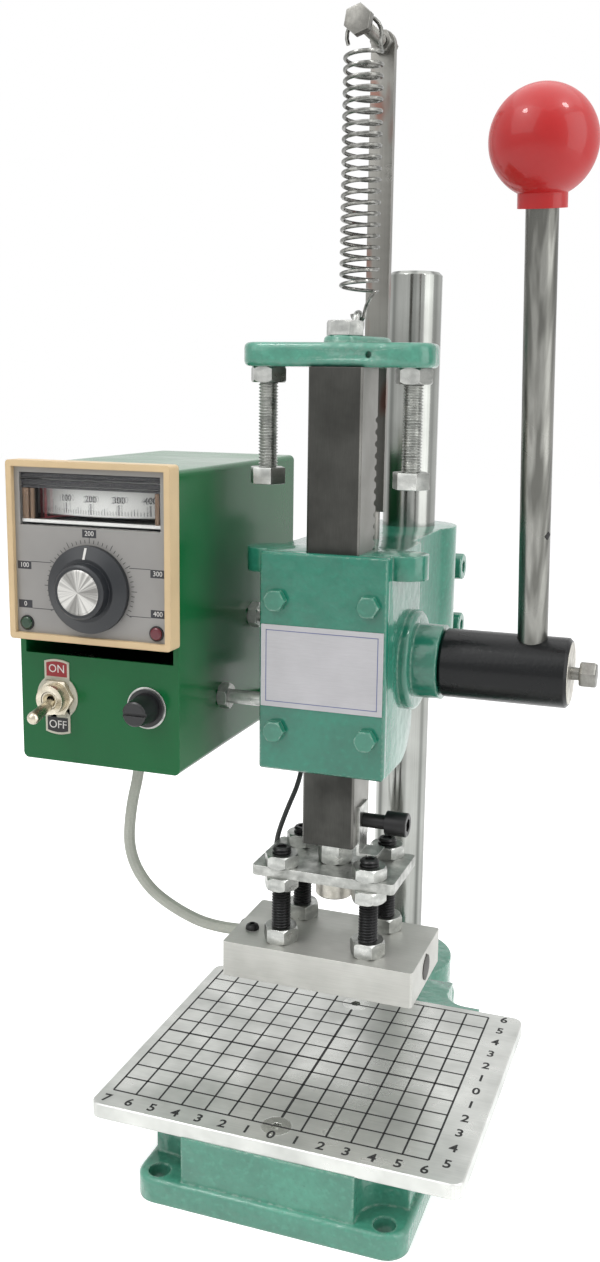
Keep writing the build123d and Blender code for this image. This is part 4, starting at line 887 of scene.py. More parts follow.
HUB_BLACK = Moulded(
    "hub_black", srgb(8, 10, 12), 0.6, roughness=0.26, coat=0.1, gloss=0.22, grain=1.6, grain_height=0.1,
)
KNOB_BLACK = Moulded("knob_black", srgb(30, 33, 37), 0.4, roughness=0.34)
BALL_RED = Moulded(
    "ball_red", srgb(176, 14, 16), 0.2, roughness=0.42, coat=0.35, gloss=0.35, grain=2.5, grain_height=0.006,
)
SCALE_WHITE = Moulded("scale_white", srgb(236, 236, 233), 0.1, roughness=0.5)
NEEDLE_PINK = Moulded("needle_pink", srgb(206, 96, 104), 0.05, roughness=0.45)
RUBBER = Moulded("rubber", srgb(28, 28, 28), 0.4, roughness=0.7)
GREEN_LENS = Moulded("green_lens", srgb(12, 56, 30), 0.3, roughness=0.14, coat=0.2)
RED_LENS = Moulded("red_lens", srgb(96, 12, 30), 0.3, roughness=0.14, coat=0.2)
# Painted shade across the top of the meter's window.
METER_SHADE = Moulded("movement_dark", srgb(52, 52, 54), 0.1, roughness=0.4)
MOVEMENT_BROWN = Moulded("movement_brown", srgb(122, 98, 78), 0.1, roughness=0.45)
# Painted shade for the inside of the block's bore.
BORE_SHADE = Moulded("bore_dark", srgb(58, 56, 52), 0.1, roughness=0.6, grain=0.8, grain_height=0.05)
INK_BLACK = Moulded("ink_black", srgb(24, 24, 24), 0.0, roughness=0.6)
INK_GREY = Moulded("ink_grey", srgb(50, 50, 54), 0.0, roughness=0.6)
INK_BLUE = Moulded("ink_blue", srgb(104, 110, 146), 0.0, roughness=0.6)
INK_WHITE = Moulded("ink_white", srgb(216, 214, 210), 0.0, roughness=0.6)
INK_RED = Moulded("ink_red", srgb(140, 30, 36), 0.0, roughness=0.45)
TAG_CREAM = Moulded("tag_cream", srgb(190, 188, 172), 0.2, roughness=0.4)
PANE = Clear("pane", srgb(240, 242, 242))
CABLE_SLEEVE = Sleeve("cable_sleeve", srgb(196, 198, 188), 0.0)
WIRE_SLEEVE = Sleeve("wire_sleeve", srgb(62, 64, 64), 0.0, pitch=0.6)


def only(kind: type, items: Iterable[object]) -> list:
    """Keep the items of one kind.

    Args:
        kind: The kind, such as bmesh's vertex type.
        items: The items to choose from.

    Returns:
        Those of the kind, in their order.
    """
    return [item for item in items if isinstance(item, kind)]


def block(size: Point, edge: float = 0.0) -> bmesh.types.BMesh:
    """Make a block round the origin.

    Args:
        size: Its size along X, Y and Z.
        edge: The round of its edges.

    Returns:
        The new shape.
    """
    shape = bmesh.new()
    bmesh.ops.create_cube(shape, size=1.0)
    bmesh.ops.scale(shape, vec=size, verts=shape.verts)
    if edge > 0:
        soften(shape, shape.edges, edge)
    return shape


def soften(shape: bmesh.types.BMesh, edges: Iterable[bmesh.types.BMEdge], radius: float) -> None:
    """Round some edges of a shape.

    Args:
        shape: The shape.
        edges: The edges to round.
        radius: The round's radius.
    """
    bmesh.ops.bevel(
        shape, geom=list(edges), offset=radius, segments=SOFT_STEPS, profile=0.5, affect="EDGES",
        material=-1,
    )


def swung(shape: bmesh.types.BMesh, turn: Matrix) -> bmesh.types.BMesh:
    """Turn a shape about the origin.

    Args:
        shape: The shape, which is changed.
        turn: The rotation.

    Returns:
        The same shape.
    """
    bmesh.ops.rotate(shape, verts=shape.verts, cent=(0, 0, 0), matrix=turn)
    return shape


def turned(profile: Sequence[tuple[float, float]], steps: int = 48) -> bmesh.types.BMesh:
    """Turn a profile round the Z axis.

    Args:
        profile: Radius and height of each corner.
        steps: How many steps a full turn has.

    Returns:
        The new shape.
    """
    shape = bmesh.new()
    corners = [shape.verts.new((radius, 0.0, height)) for radius, height in profile]
    lines = [shape.edges.new(pair) for pair in zip(corners, corners[1:])]
    bmesh.ops.spin(
        shape, geom=corners + lines, cent=(0, 0, 0), axis=(0, 0, 1), angle=math.tau, steps=steps,
        use_merge=True,
    )
    return shape


def disc(radius: float, thickness: float, steps: int = 48, slope: float = 0.0) -> bmesh.types.BMesh:
    """Make a round disc.

    Args:
        radius: Its radius.
        thickness: Its thickness.
        steps: How many steps a full turn has.
        slope: How much smaller its far face is.

    Returns:
        The new shape, its foot at Z 0.
    """
    return turned([(0.0, 0.0), (radius, 0.0), (radius - slope, thickness), (0.0, thickness)], steps)


def ring(inner: float, outer: float, thickness: float, slope: float = 0.0) -> bmesh.types.BMesh:
    """Make a flat ring.

    Args:
        inner: The radius of its hole.
        outer: Its outer radius.
        thickness: Its thickness.
        slope: How much smaller its far face is.

    Returns:
        The new shape, its foot at Z 0.
    """
    rim = outer - slope
    return turned([(inner, 0.0), (outer, 0.0), (rim, thickness), (inner, thickness), (inner, 0.0)])


def prism(outline: Sequence[tuple[float, float]], height: float) -> bmesh.types.BMesh:
    """Raise a flat outline along Z.

    Args:
        outline: The corners in X and Y.
        height: How far it is raised.

    Returns:
        The new shape, its foot at Z 0.
    """
    shape = bmesh.new()
    foot = shape.faces.new([shape.verts.new((x, y, 0.0)) for x, y in outline])
    raised = bmesh.ops.extrude_face_region(shape, geom=[foot], use_keep_orig=True)["geom"]
    bmesh.ops.translate(shape, vec=(0, 0, height), verts=only(bmesh.types.BMVert, raised))
    return shape


def hexagon(corner: float, height: float, edge: float, turn: float = 0.0) -> bmesh.types.BMesh:
    """Make a bolt's hexagon head with its two faces' rims eased.

    Args:
        corner: The distance from its axis to its corners.
        height: Its height.
        edge: How far the rims are eased.
        turn: Where its first corner lies, in degrees.

    Returns:
        The new shape, its foot at Z 0.
    """
    corners = [math.radians(60 * index + turn) for index in range(6)]
    head = prism([(corner * math.cos(angle), corner * math.sin(angle)) for angle in corners], height)
    rims = [line for line in head.edges if abs(line.verts[0].co.z - line.verts[1].co.z) < MERGE_DISTANCE]
    soften(head, rims, edge)
    return head


def threaded(radius: float, pitch: float, length: float, steps: int = 24) -> bmesh.types.BMesh:
    """Cut a screw thread on a rod from Z 0 up.

    Args:
        radius: The thread's outer radius.
        pitch: The rise of one turn.
        length: The rod's length.
        steps: How many steps a turn has.

    Returns:
        The new shape, closed at both ends.
    """
    shape = bmesh.new()
    depth = THREAD_SHARE * pitch
    corners = []
    for index in range(2 * (int(length / pitch) + 2 * SPARE_TURNS)):
        reach = radius if index % 2 else radius - depth
        corners.append(shape.verts.new((reach, 0.0, (index / 2 - SPARE_TURNS) * pitch)))
    lines = [shape.edges.new(pair) for pair in zip(corners, corners[1:])]
    bmesh.ops.spin(
        shape, geom=corners + lines, cent=(0, 0, 0), axis=(0, 0, 1), angle=math.tau,
        dvec=(0, 0, pitch / steps), steps=steps,
    )
    bmesh.ops.remove_doubles(shape, verts=shape.verts, dist=MERGE_DISTANCE)
    for height, outward in ((0.0, -1.0), (length, 1.0)):
        parts = list(shape.verts) + list(shape.edges) + list(shape.faces)
        cut = bmesh.ops.bisect_plane(
            shape, geom=parts, plane_co=(0, 0, height), plane_no=(0, 0, outward), clear_outer=True
        )["geom_cut"]
        bmesh.ops.holes_fill(shape, edges=only(bmesh.types.BMEdge, cut), sides=0)
    return shape


def mesh_of(curve: bpy.types.Curve) -> bpy.types.Mesh:
    """Turn a line or a text into a mesh, and clear it away.

    Args:
        curve: The line or the text.

    Returns:
        Its mesh.
    """
    carrier = bpy.data.objects.new(curve.name, curve)
    mesh = bpy.data.meshes.new_from_object(carrier)
    bpy.data.objects.remove(carrier)
    bpy.data.curves.remove(curve)
    return mesh


def lettering(text: str, height: float, weight: float = 0.0) -> bmesh.types.BMesh:
    """Make flat printed characters, reading along X, upright along Y.

    Args:
        text: The characters.
        height: The height of a capital or digit.
        weight: How much the strokes are widened.

    Returns:
        The new shape, a thin slab centred on the origin.
    """
    curve = bpy.data.curves.new("characters", "FONT")
    curve.body = text
    curve.size = height / CAPITAL_SHARE
    curve.offset = weight
    curve.extrude = PRINT_LIFT / 2
    curve.resolution_u = LETTER_STEPS
    curve.align_x = "CENTER"
    curve.align_y = "CENTER"
    mesh = mesh_of(curve)
    shape = bmesh.new()
    shape.from_mesh(mesh)
    bpy.data.meshes.remove(mesh)
    return shape


def line_of(points: Sequence[Point], radius: float, smooth: bool) -> bpy.types.Mesh:
    """Make the mesh of a wire or cable, or of its centre line.

    Args:
        points: The points of its line.
        radius: Its radius, or 0 for the centre line alone.
        smooth: Whether the line is a smooth spline that the points guide.

    Returns:
        The mesh, in the units of the points.
    """
    curve = bpy.data.curves.new("line", "CURVE")
    curve.dimensions = "3D"
    spline = curve.splines.new("NURBS" if smooth else "POLY")
    spline.points.add(len(points) - 1)
    for knot, place in zip(spline.points, points):
        knot.co = (*place, 1.0)
    if smooth:
        spline.order_u = 3
        spline.use_endpoint_u = True
        spline.resolution_u = SPLINE_STEPS
    if radius > 0:
        curve.bevel_depth = radius
        curve.bevel_resolution = TUBE_STEPS
        curve.use_fill_caps = True
    return mesh_of(curve)


def metres(points: Iterable[Point]) -> list[Point]:
    """Turn points in millimetres into metres.

    Args:
        points: The points.

    Returns:
        The points in metres.
    """
    return [tuple(axis * MM for axis in point) for point in points]


def shown(name: str, data: bpy.types.ID) -> bpy.types.Object:
    """Put a mesh, a lamp or a camera in the scene.

    Args:
        name: The object's name.
        data: What it shows.

    Returns:
        The new object.
    """
    item = bpy.data.objects.new(name, data)
    bpy.context.scene.collection.objects.link(item)
    return item


class Workpiece:
    """A piece put together from shapes in millimetres, and then finished as an object."""

    def __init__(self) -> None:
        """Start with nothing."""
        self.shape = bmesh.new()

    def add(
        self, part: bmesh.types.BMesh, place: Point = (0, 0, 0), aim: Aim = Aim.UP, roll: float = 0.0
    ) -> None:
        """Merge, turn and place a shape, and join it to the piece.

        Args:
            part: The shape, which is used up.
            place: Where its origin goes.
            aim: Which way its Z axis goes.
            roll: A turn about its own Z axis first, in degrees.
        """
        bmesh.ops.remove_doubles(part, verts=part.verts, dist=MERGE_DISTANCE)
        bmesh.ops.recalc_face_normals(part, faces=part.faces)
        matrix = Matrix.Translation(place) @ aim.value @ Matrix.Rotation(math.radians(roll), 4, "Z")
        bmesh.ops.transform(part, matrix=matrix, verts=part.verts)
        mesh = bpy.data.meshes.new("part")
        part.to_mesh(mesh)
        part.free()
        self.shape.from_mesh(mesh)
        bpy.data.meshes.remove(mesh)

    def span(self, low: Point, high: Point, edge: float = 0.0) -> None:
        """Join a block between two corners.

        Args:
            low: Its lowest corner.
            high: Its highest corner.
            edge: The round of its edges.
        """
        size = tuple(b - a for a, b in zip(low, high))
        middle = tuple((a + b) / 2 for a, b in zip(low, high))
        self.add(block(size, edge), middle)

    def finish(
        self, name: str, body: Body, slot: Slot, finish: Finish, replaced: Sequence[str] = ()
    ) -> None:
        """Turn the piece into an object that rides on a body.

        Args:
            name: The object's name.
            body: The body it rides on.
            slot: The record's slot it takes its finish from.
            finish: Its finish.
            replaced: The CAD nodes it stands for.
        """
        bmesh.ops.scale(self.shape, vec=(MM, MM, MM), verts=self.shape.verts)
        mesh = bpy.data.meshes.new(name)
        self.shape.to_mesh(mesh)
        self.shape.free()
        settle(mesh, name, body, slot, finish, replaced)


def settle(
    mesh: bpy.types.Mesh, name: str, body: Body | None, slot: Slot, finish: Finish, replaced: Sequence[str]
) -> bpy.types.Object:
    """Make a mesh in metres an object of the part.

    Args:
        mesh: The mesh.
        name: The object's name.
        body: The body it rides on, or None where it is blended later.
        slot: The record's slot it takes its finish from.
        finish: Its finish.
        replaced: The CAD nodes it stands for.

    Returns:
        The object.
    """
    mesh.shade_smooth()
    mesh.set_sharp_from_angle(angle=math.radians(SMOOTH_DEGREES))
    mesh.materials.clear()
    mesh.materials.append(finish.material())
    piece = shown(name, mesh)
    if body is not None:
        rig.ride(piece, body.value)
    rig.slot(piece, slot.value)
    if replaced:
        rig.replaces(piece, *replaced)
    LOG.info("%s: %d faces", name, len(mesh.polygons))
    return piece


def stands_free(edge: bmesh.types.BMEdge, tree: BVHTree) -> bool:
    """Tell whether an edge is an outer corner, with nothing of its own shape over either face.

    Args:
        edge: The edge.
        tree: The shape's faces, to look along.

    Returns:
        Whether a casting would be rounded there.
    """
    if len(edge.link_faces) != 2 or edge.calc_face_angle_signed(0.0) < math.radians(CORNER_DEGREES):
        return False
    middle = (edge.verts[0].co + edge.verts[1].co) / 2
    for here, there in (edge.link_faces, reversed(edge.link_faces)):
        start = middle - here.normal * PROBE_INSET + there.normal * PROBE_LIFT
        if tree.ray_cast(start, there.normal, PROBE_REACH)[0] is not None:
            return False
    return True


@dataclass
class Assembly:
    """A sub-assembly of the press, with the frame's nodes to dress."""

    nodes: dict[str, bpy.types.Object]

    def dress(self, finish: Finish, *names: str) -> None:
        """Give CAD nodes a finish.

        Args:
            finish: The finish.
            names: The nodes' names.
        """
        material = finish.material()
        for name in names:
            piece = self.nodes[name]
            if not piece.material_slots:
                piece.data.materials.append(material)
            for slot in piece.material_slots:
                slot.material = material
        LOG.info("%s: %s", finish.name, ", ".join(names))

    def ease(self, name: str, title: str, body: Body, finish: Finish, radius: float) -> None:
        """Stand a copy of a casting in its node's place, its outer edges rounded as a cast piece's are.

        Args:
            name: The node's name.
            title: The piece's name.
            body: The body it rides on.
            finish: Its finish.
            radius: How far the edges are rounded.
        """
        shape = bmesh.new()
        shape.from_mesh(self.nodes[name].data)
        bmesh.ops.scale(shape, vec=(1 / MM, 1 / MM, 1 / MM), verts=shape.verts)
        bmesh.ops.remove_doubles(shape, verts=shape.verts, dist=COPY_MERGE_DISTANCE)
        flat = math.radians(FLAT_DEGREES)
        bmesh.ops.dissolve_limit(shape, angle_limit=flat, verts=shape.verts, edges=shape.edges)
        tree = BVHTree.FromBMesh(shape)
        chosen = [edge for edge in shape.edges if stands_free(edge, tree)]
        bmesh.ops.bevel(
            shape, geom=chosen, offset=radius, segments=EASE_STEPS, profile=0.5, affect="EDGES",
            material=-1, clamp_overlap=True,
        )
        gaps = sum(1 for edge in shape.edges if len(edge.link_faces) != 2)
        LOG.info("%s: %d edges rounded, %d open", title, len(chosen), gaps)
        piece = Workpiece()
        piece.add(shape)
        piece.finish(title, body, Slot.GREEN_PAINT, finish, [name])

    def box(self, name: str) -> tuple[Vector, Vector]:
        """Give a node's lowest and highest corners in millimetres.

        Args:
            name: The node's name.

        Returns:
            The two corners.
        """
        low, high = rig.box(name)
        return low / MM, high / MM

    def middle(self, name: str) -> Point:
        """Give the middle of a node's box in millimetres.

        Args:
            name: The node's name.

        Returns:
            The middle.
        """
        low, high = self.box(name)
        return ((low.x + high.x) / 2, (low.y + high.y) / 2, (low.z + high.z) / 2)


@dataclass
class Bed(Assembly):
    """The base casting with its worktable, and the column."""

    cell: float = 10.0
    columns_left: int = 7
    columns_right: int = 6
    rows_front: int = 5
    rows_back: int = 6
    fine_line: float = 0.8
    zero_line: float = 1.1
    digit_height: float = 4.6
    digit_weight: float = 0.15
    front_digits_y: float = -56.0
    side_digits_x: float = 67.0
    edge_radius: float = 1.8

    def build(self) -> None:
        """Dress the castings and engrave the table."""
        self.ease("base_casting", "cast_base", Body.BASE, BASE_GREEN, self.edge_radius)
        self.dress(TABLE_METAL, "worktable_plate")
        self.dress(SCREW_METAL, "table_screws")
        self.dress(COLUMN_STEEL, "column")
        self.dress(BLACK_STEEL, "column_set_screw")
        self.engrave_lines()
        self.engrave_digits()

    def engrave_lines(self) -> None:
        """Fill the grid's grooves with black, the middle one only between the table's screws."""
        top = self.box("worktable_plate")[1].z
        left, right = -self.columns_left * self.cell, self.columns_right * self.cell
        front, back = -self.rows_front * self.cell, self.rows_back * self.cell
        screw_low, screw_high = self.box("table_screws")
        screw = screw_high.x - screw_low.x
        grid = Workpiece()
        for column in range(-self.columns_left, self.columns_right + 1):
            half = (self.fine_line if column else self.zero_line) / 2
            x = column * self.cell
            near = front if column else screw_low.y + screw
            far = back if column else screw_high.y - screw
            grid.span((x - half, near, top), (x + half, far, top + PRINT_LIFT))
        for row in range(-self.rows_front, self.rows_back + 1):
            half = (self.fine_line if row else self.zero_line) / 2
            y = row * self.cell
            grid.span((left, y - half, top), (right, y + half, top + PRINT_LIFT))
        grid.finish("table_grid", Body.BASE, Slot.BLACK_PLASTIC, INK_BLACK)

    def engrave_digits(self) -> None:
        """Number the grid along its front and its right side."""
        columns = range(-self.columns_left, self.columns_right + 1)
        rows = range(-self.rows_front, self.rows_back + 1)
        places = [(column, column * self.cell, self.front_digits_y) for column in columns]
        places += [(row, self.side_digits_x, row * self.cell) for row in rows]
        top = self.box("worktable_plate")[1].z + PRINT_LIFT / 2
        digits = Workpiece()
        for number, x, y in places:
            digits.add(lettering(str(abs(number)), self.digit_height, self.digit_weight), (x, y, top))
        digits.finish("table_digits", Body.BASE, Slot.BLACK_PLASTIC, INK_BLACK)


@dataclass
class Head(Assembly):
    """The head casting with its front cover, its plate and the spring's post."""

    border_inset: float = 2.0
    border_line: float = 0.35
    screw_radius: float = 2.5
    screw_pitch: float = 0.8
    screw_head: float = 4.5
    screw_corner: float = 5.8
    screw_edge: float = 0.7
    screw_turn: float = 20.0
    head_edge_radius: float = 1.5
    cover_edge_radius: float = 1.2

    def build(self) -> None:
        """Dress the head, and add the plate's border and the post's screw."""
        self.ease("head_casting", "cast_head", Body.HEAD, CASTING_GREEN, self.head_edge_radius)
        self.ease("front_cover", "cast_cover", Body.HEAD, COVER_GREEN, self.cover_edge_radius)
        self.dress(BOLT_GREEN, "cover_bolts", "clamp_bolts")
        self.dress(LABEL_METAL, "label_plate")
        self.dress(POST_STEEL, "spring_post")
        self.dress(DULL_STEEL, "post_nuts")
        self.frame_label()
        self.set_post_screw()

    def set_post_screw(self) -> None:
        """Set the threaded screw with its hexagon head that the spring hangs on."""
        low, high = self.box("post_screw")
        x, _, z = self.middle("post_screw")
        neck = (x, low.y + self.screw_head, z)
        head = hexagon(self.screw_corner, self.screw_head, self.screw_edge, self.screw_turn)
        screw = Workpiece()
        screw.add(threaded(self.screw_radius, self.screw_pitch, high.y - neck[1]), neck, Aim.BACK)
        screw.add(head, neck, Aim.FRONT)
        screw.finish("hexagon_post_screw", Body.HEAD, Slot.ZINC_STEEL, DULL_STEEL, ["post_screw"])

    def frame_label(self) -> None:
        """Print a thin border on the bare plate."""
        low, high = self.box("label_plate")
        left, right = low.x + self.border_inset, high.x - self.border_inset
        foot, top = low.z + self.border_inset, high.z - self.border_inset
        line = self.border_line
        border = Workpiece()
        for x in (left, right - line):
            border.span((x, low.y - PRINT_LIFT, foot), (x + line, low.y, top))
        for z in (foot, top - line):
            border.span((left, low.y - PRINT_LIFT, z), (right, low.y, z + line))
        border.finish("label_border", Body.HEAD, Slot.GREY_PLASTIC, INK_BLUE)


@dataclass
class ControlBox(Assembly):
    """The sheet box with its switch, its fuse and its sockets."""

    disc_radius: float = 9.4
    tab_width: float = 9.6
    tab_reach: float = 15.0
    tab_start: float = 8.6
    tab_steps: int = 8
    tag_border: float = 0.9
    tag_thickness: float = 0.5
    word_height: float = 3.3
    ring_radius: float = 8.6
    ring_width: float = 3.0
    ring_thickness: float = 0.7
    collar_radius: float = 3.5
    collar_hole: float = 1.7
    collar_depth: float = 2.2
    collar_drop: float = 0.2
    collar_chamfer: tuple[float, float] = (0.5, 0.1)
    collar_dip: float = 1.2
    collar_steps: int = 32

    def build(self) -> None:
        """Dress the box and add its small parts."""
        self.dress(BOX_GREEN, "control_box_shell", "control_box_back")
        self.dress(ZINC, "back_cover_screws", "box_studs", "stud_nuts")
        self.dress(NICKEL, "toggle_switch", "toggle_nut", "toggle_lever")
        self.dress(BLACK_PLASTIC, "fuse_holder", "fuse_cap", "cable_gland", "mains_inlet")
        self.dress(RUBBER, "wire_grommet")
        self.tag_switch()
        self.fill_bush()
        self.ring_fuse()

    def tag_switch(self) -> None:
        """Set the plate with ON and OFF behind the switch's nut."""
        x, _, z = self.middle("toggle_nut")
        panel = self.box("toggle_nut")[1].y
        face = panel - self.tag_thickness
        plate = Workpiece()
        plate.add(disc(self.disc_radius, self.tag_thickness), (x, panel, z), Aim.FRONT)
        for roll in (0.0, 180.0):
            plate.add(self.tab(self.tag_border, 0.0, self.tag_thickness), (x, panel, z), Aim.FRONT, roll)
        plate.finish("switch_plate", Body.HEAD, Slot.ZINC_STEEL, TAG_CREAM)
        for name, word, side, finish, slot in (
            ("switch_on", "ON", 1, INK_RED, Slot.RED_PLASTIC),
            ("switch_off", "OFF", -1, INK_BLACK, Slot.BLACK_PLASTIC),
        ):
            patch = Workpiece()
            roll = 90.0 - 90.0 * side
            patch.add(self.tab(0.0, self.tab_start, PRINT_LIFT), (x, face, z), Aim.FRONT, roll)
            patch.finish(f"{name}_field", Body.HEAD, slot, finish)
            letters = Workpiece()
            level = z + side * (self.tab_start + self.tab_reach) / 2
            letters.add(lettering(word, self.word_height), (x, face - 1.5 * PRINT_LIFT, level), Aim.FRONT)
            letters.finish(f"{name}_word", Body.HEAD, Slot.WHITE_SCALE, INK_WHITE)

    def tab(self, border: float, start: float, thickness: float) -> bmesh.types.BMesh:
        """Cut the upper tab of the switch's plate, its outer end an arc round the switch.

        Args:
            border: How far the tab stands out round its printed field.
            start: The height above the switch's axis at which it starts.
            thickness: Its thickness.

        Returns:
            The new shape, the switch's axis at its origin.
        """
        half = self.tab_width / 2 + border
        reach = self.tab_reach + border
        widest = math.asin(half / reach)
        outline = [(-half, start), (half, start)]
        for index in range(self.tab_steps + 1):
            turn = widest * (1 - 2 * index / self.tab_steps)
            outline.append((reach * math.sin(turn), reach * math.cos(turn)))
        return prism(outline, thickness)

    def fill_bush(self) -> None:
        """Close the switch's bush with the sloped collar that its lever comes out of."""
        x, _, z = self.middle("toggle_nut")
        inset, drop = self.collar_chamfer
        profile = [
            (self.collar_radius, -self.collar_depth), (self.collar_radius, -self.collar_drop),
            (self.collar_radius - inset, -drop), (self.collar_hole, -self.collar_dip),
            (self.collar_hole, -self.collar_depth), (self.collar_radius, -self.collar_depth),
        ]
        collar = Workpiece()
        place = (x, self.box("toggle_switch")[0].y, z)
        collar.add(turned(profile, self.collar_steps), place, Aim.FRONT)
        collar.finish("switch_collar", Body.HEAD, Slot.ZINC_STEEL, NICKEL)

    def ring_fuse(self) -> None:
        """Set a bright washer behind the fuse holder's flange."""
        x, _, z = self.middle("fuse_cap")
        washer = Workpiece()
        flat = ring(self.ring_radius - self.ring_width, self.ring_radius, self.ring_thickness)
        washer.add(flat, (x, self.box("toggle_nut")[1].y, z), Aim.FRONT)
        washer.finish("fuse_washer", Body.HEAD, Slot.ZINC_STEEL, ZINC)


@dataclass
class Thermostat(Assembly):
    """The thermostat: its face, its setting dial and its meter."""

    degrees_per_tick: float = 5.95
    ticks: int = 40
    tick_inner: float = 18.2
    tick_outer: float = 19.6
    long_tick_outer: float = 20.6
    long_tick_every: int = 5
    tick_width: float = 0.25
    tag_size: tuple[float, float] = (6.2, 3.2)
    tag_x: float = 29.6
    tag_z: float = 7.9
    top_tag_z: float = 22.0
    leader_x: float = 17.4
    digit_height: float = 1.9
    scale_digit_height: float = 2.5
    scale_digit_weight: float = 0.08
    scale_digit_rise: float = 0.7
    scale_reach: float = 24.0
    scale_shift: float = -2.0
    scale_steps: int = 40
    scale_foot: float = 0.8
    degrees_per_mark: int = 10
    hundred_mark: tuple[float, float] = (0.75, 4.2)
    fifty_mark: tuple[float, float] = (0.3, 2.6)
    ten_mark: tuple[float, float] = (0.18, 1.6)
    behind_pane: float = 0.2
    bar_edge: float = 0.1
    bar_thickness: float = 1.4
    # The bars of painted shade at the window's top: how far below the top each starts, and its depth.
    bridge_bars: tuple[tuple[float, float], ...] = ((0.2, 1.6), (1.9, 0.6), (2.9, 2.2), (5.3, 0.9))
    sill_floor: float = 1.3
    sill_lip: float = 2.4
    sill_depth: float = 0.8
    sill_edge: float = 0.2
    frame_posts: tuple[tuple[float, float, float], ...] = ((0.4, 2.8, 1.4), (4.0, 1.5, 1.1), (59.0, 1.8, 1.0))
    frame_drop: float = 6.4
    lamp_ring_width: float = 0.5
    lamp_ring_slope: float = 0.1
    lamp_ring_height: float = 0.6
    cap_edge: float = 0.3
    cap_rim: float = 0.6
    cap_steps: int = 72
    groove_depth: float = 0.07
    groove_count: int = 14
    meter_inset: float = 2.5
    pointer_inner: float = 12.2
    pointer_outer: float = 16.9
    pointer_width: float = 1.0
    skirt_height: float = 2.6
    slope_height: float = 2.2
    shoulder_radius: float = 12.6
    face_y: float = field(init=False, default=0.0)
    centre_x: float = field(init=False, default=0.0)
    dial_z: float = field(init=False, default=0.0)

    def build(self) -> None:
        """Dress the thermostat and print its faces."""
        self.dress(BEZEL_CREAM, "thermostat_bezel")
        self.dress(BLACK_PLASTIC, "thermostat_body")
        self.dress(FACE_GREY, "thermostat_face")
        self.dress(PANE, "meter_window")
        self.dress(SCALE_WHITE, "meter_scale")
        self.dress(NEEDLE_PINK, "meter_needle")
        self.dress(GREEN_LENS, "green_lamp")
        self.dress(RED_LENS, "red_lamp")
        self.dress(KNOB_BLACK, "dial_knob")
        self.face_y = self.box("thermostat_face")[0].y
        self.centre_x = self.middle("thermostat_face")[0]
        self.dial_z = self.middle("dial_knob")[2]
        self.print_ticks()
        self.print_tags()
        self.print_scale()
        self.fit_movement()
        self.ring_lamps()
        self.spin_cap()
        self.mark_knob()

    def on_face(self, radius: float, angle: float) -> Point:
        """Find a place on the face by its distance and direction from the dial.

        Args:
            radius: The distance from the dial's centre.
            angle: The direction in degrees, 0 to the right and 90 up.

        Returns:
            The place, just on the face.
        """
        turn = math.radians(angle)
        x = self.centre_x + radius * math.cos(turn)
        return (x, self.face_y - PRINT_LIFT / 2, self.dial_z + radius * math.sin(turn))

    def print_ticks(self) -> None:
        """Print the ticks round the dial."""
        ticks = Workpiece()
        for index in range(self.ticks + 1):
            angle = 90 + (self.ticks / 2 - index) * self.degrees_per_tick
            outer = self.tick_outer if index % self.long_tick_every else self.long_tick_outer
            middle = (self.tick_inner + outer) / 2
            bar = block((outer - self.tick_inner, self.tick_width, PRINT_LIFT))
            ticks.add(bar, self.on_face(middle, angle), Aim.FRONT, angle)
        ticks.finish("dial_ticks", Body.HEAD, Slot.BLACK_PLASTIC, INK_GREY)

    def print_tags(self) -> None:
        """Print the numbered fields and the lines that lead to them."""
        fields = Workpiece()
        digits = Workpiece()
        width, height = self.tag_size
        y = self.face_y - PRINT_LIFT / 2
        right, high = self.tag_x, self.tag_z
        places = {
            "0": (-right, -high), "100": (-right, high), "200": (0.0, self.top_tag_z),
            "300": (right, high), "400": (right, -high),
        }
        for word, (dx, dz) in places.items():
            place = (self.centre_x + dx, y, self.dial_z + dz)
            fields.add(block((width, height, PRINT_LIFT)), place, Aim.FRONT)
            digits.add(lettering(word, self.digit_height), (place[0], y - PRINT_LIFT, place[2]), Aim.FRONT)
            if dx:
                side = math.copysign(1, dx)
                level = dz + math.copysign(height / 2, dz)
                start = self.leader_x * side
                end = dx - side * width / 2
                line = block((abs(end - start), self.tick_width, PRINT_LIFT))
                fields.add(line, (self.centre_x + (start + end) / 2, y, self.dial_z + level), Aim.FRONT)
        fields.finish("dial_fields", Body.HEAD, Slot.BLACK_PLASTIC, INK_GREY)
        digits.finish("dial_digits", Body.HEAD, Slot.WHITE_SCALE, INK_WHITE)

    def print_scale(self) -> None:
        """Print the meter's curved scale, each mark turned with the curve."""
        low = self.box("meter_scale")[0]
        centre_y = self.box("meter_needle")[1].y - self.meter_inset
        radius = centre_y - low.y + PRINT_LIFT
        foot = low.z + self.scale_foot
        marks = Workpiece()
        upright = Matrix.Rotation(math.pi / 2, 3, "X")
        for index in range(self.scale_steps + 1):
            reach = (index / self.scale_steps - 0.5) * 2 * self.scale_reach + self.scale_shift
            angle = math.asin(reach / radius)
            turn = Matrix.Rotation(angle, 3, "Z")
            x, y = self.centre_x + reach, centre_y - radius * math.cos(angle)
            degrees = index * self.degrees_per_mark
            width, tall = self.ten_mark
            if degrees % 100 == 0:
                width, tall = self.hundred_mark
            elif degrees % 50 == 0:
                width, tall = self.fifty_mark
            marks.add(swung(block((width, PRINT_LIFT, tall)), turn), (x, y, foot + tall / 2))
            if degrees and degrees % 100 == 0:
                word = lettering(str(degrees), self.scale_digit_height, self.scale_digit_weight)
                level = foot + tall + self.scale_digit_rise * self.scale_digit_height
                marks.add(swung(word, turn @ upright), (x, y, level))
        marks.finish("meter_marks", Body.HEAD, Slot.BLACK_PLASTIC, INK_GREY)

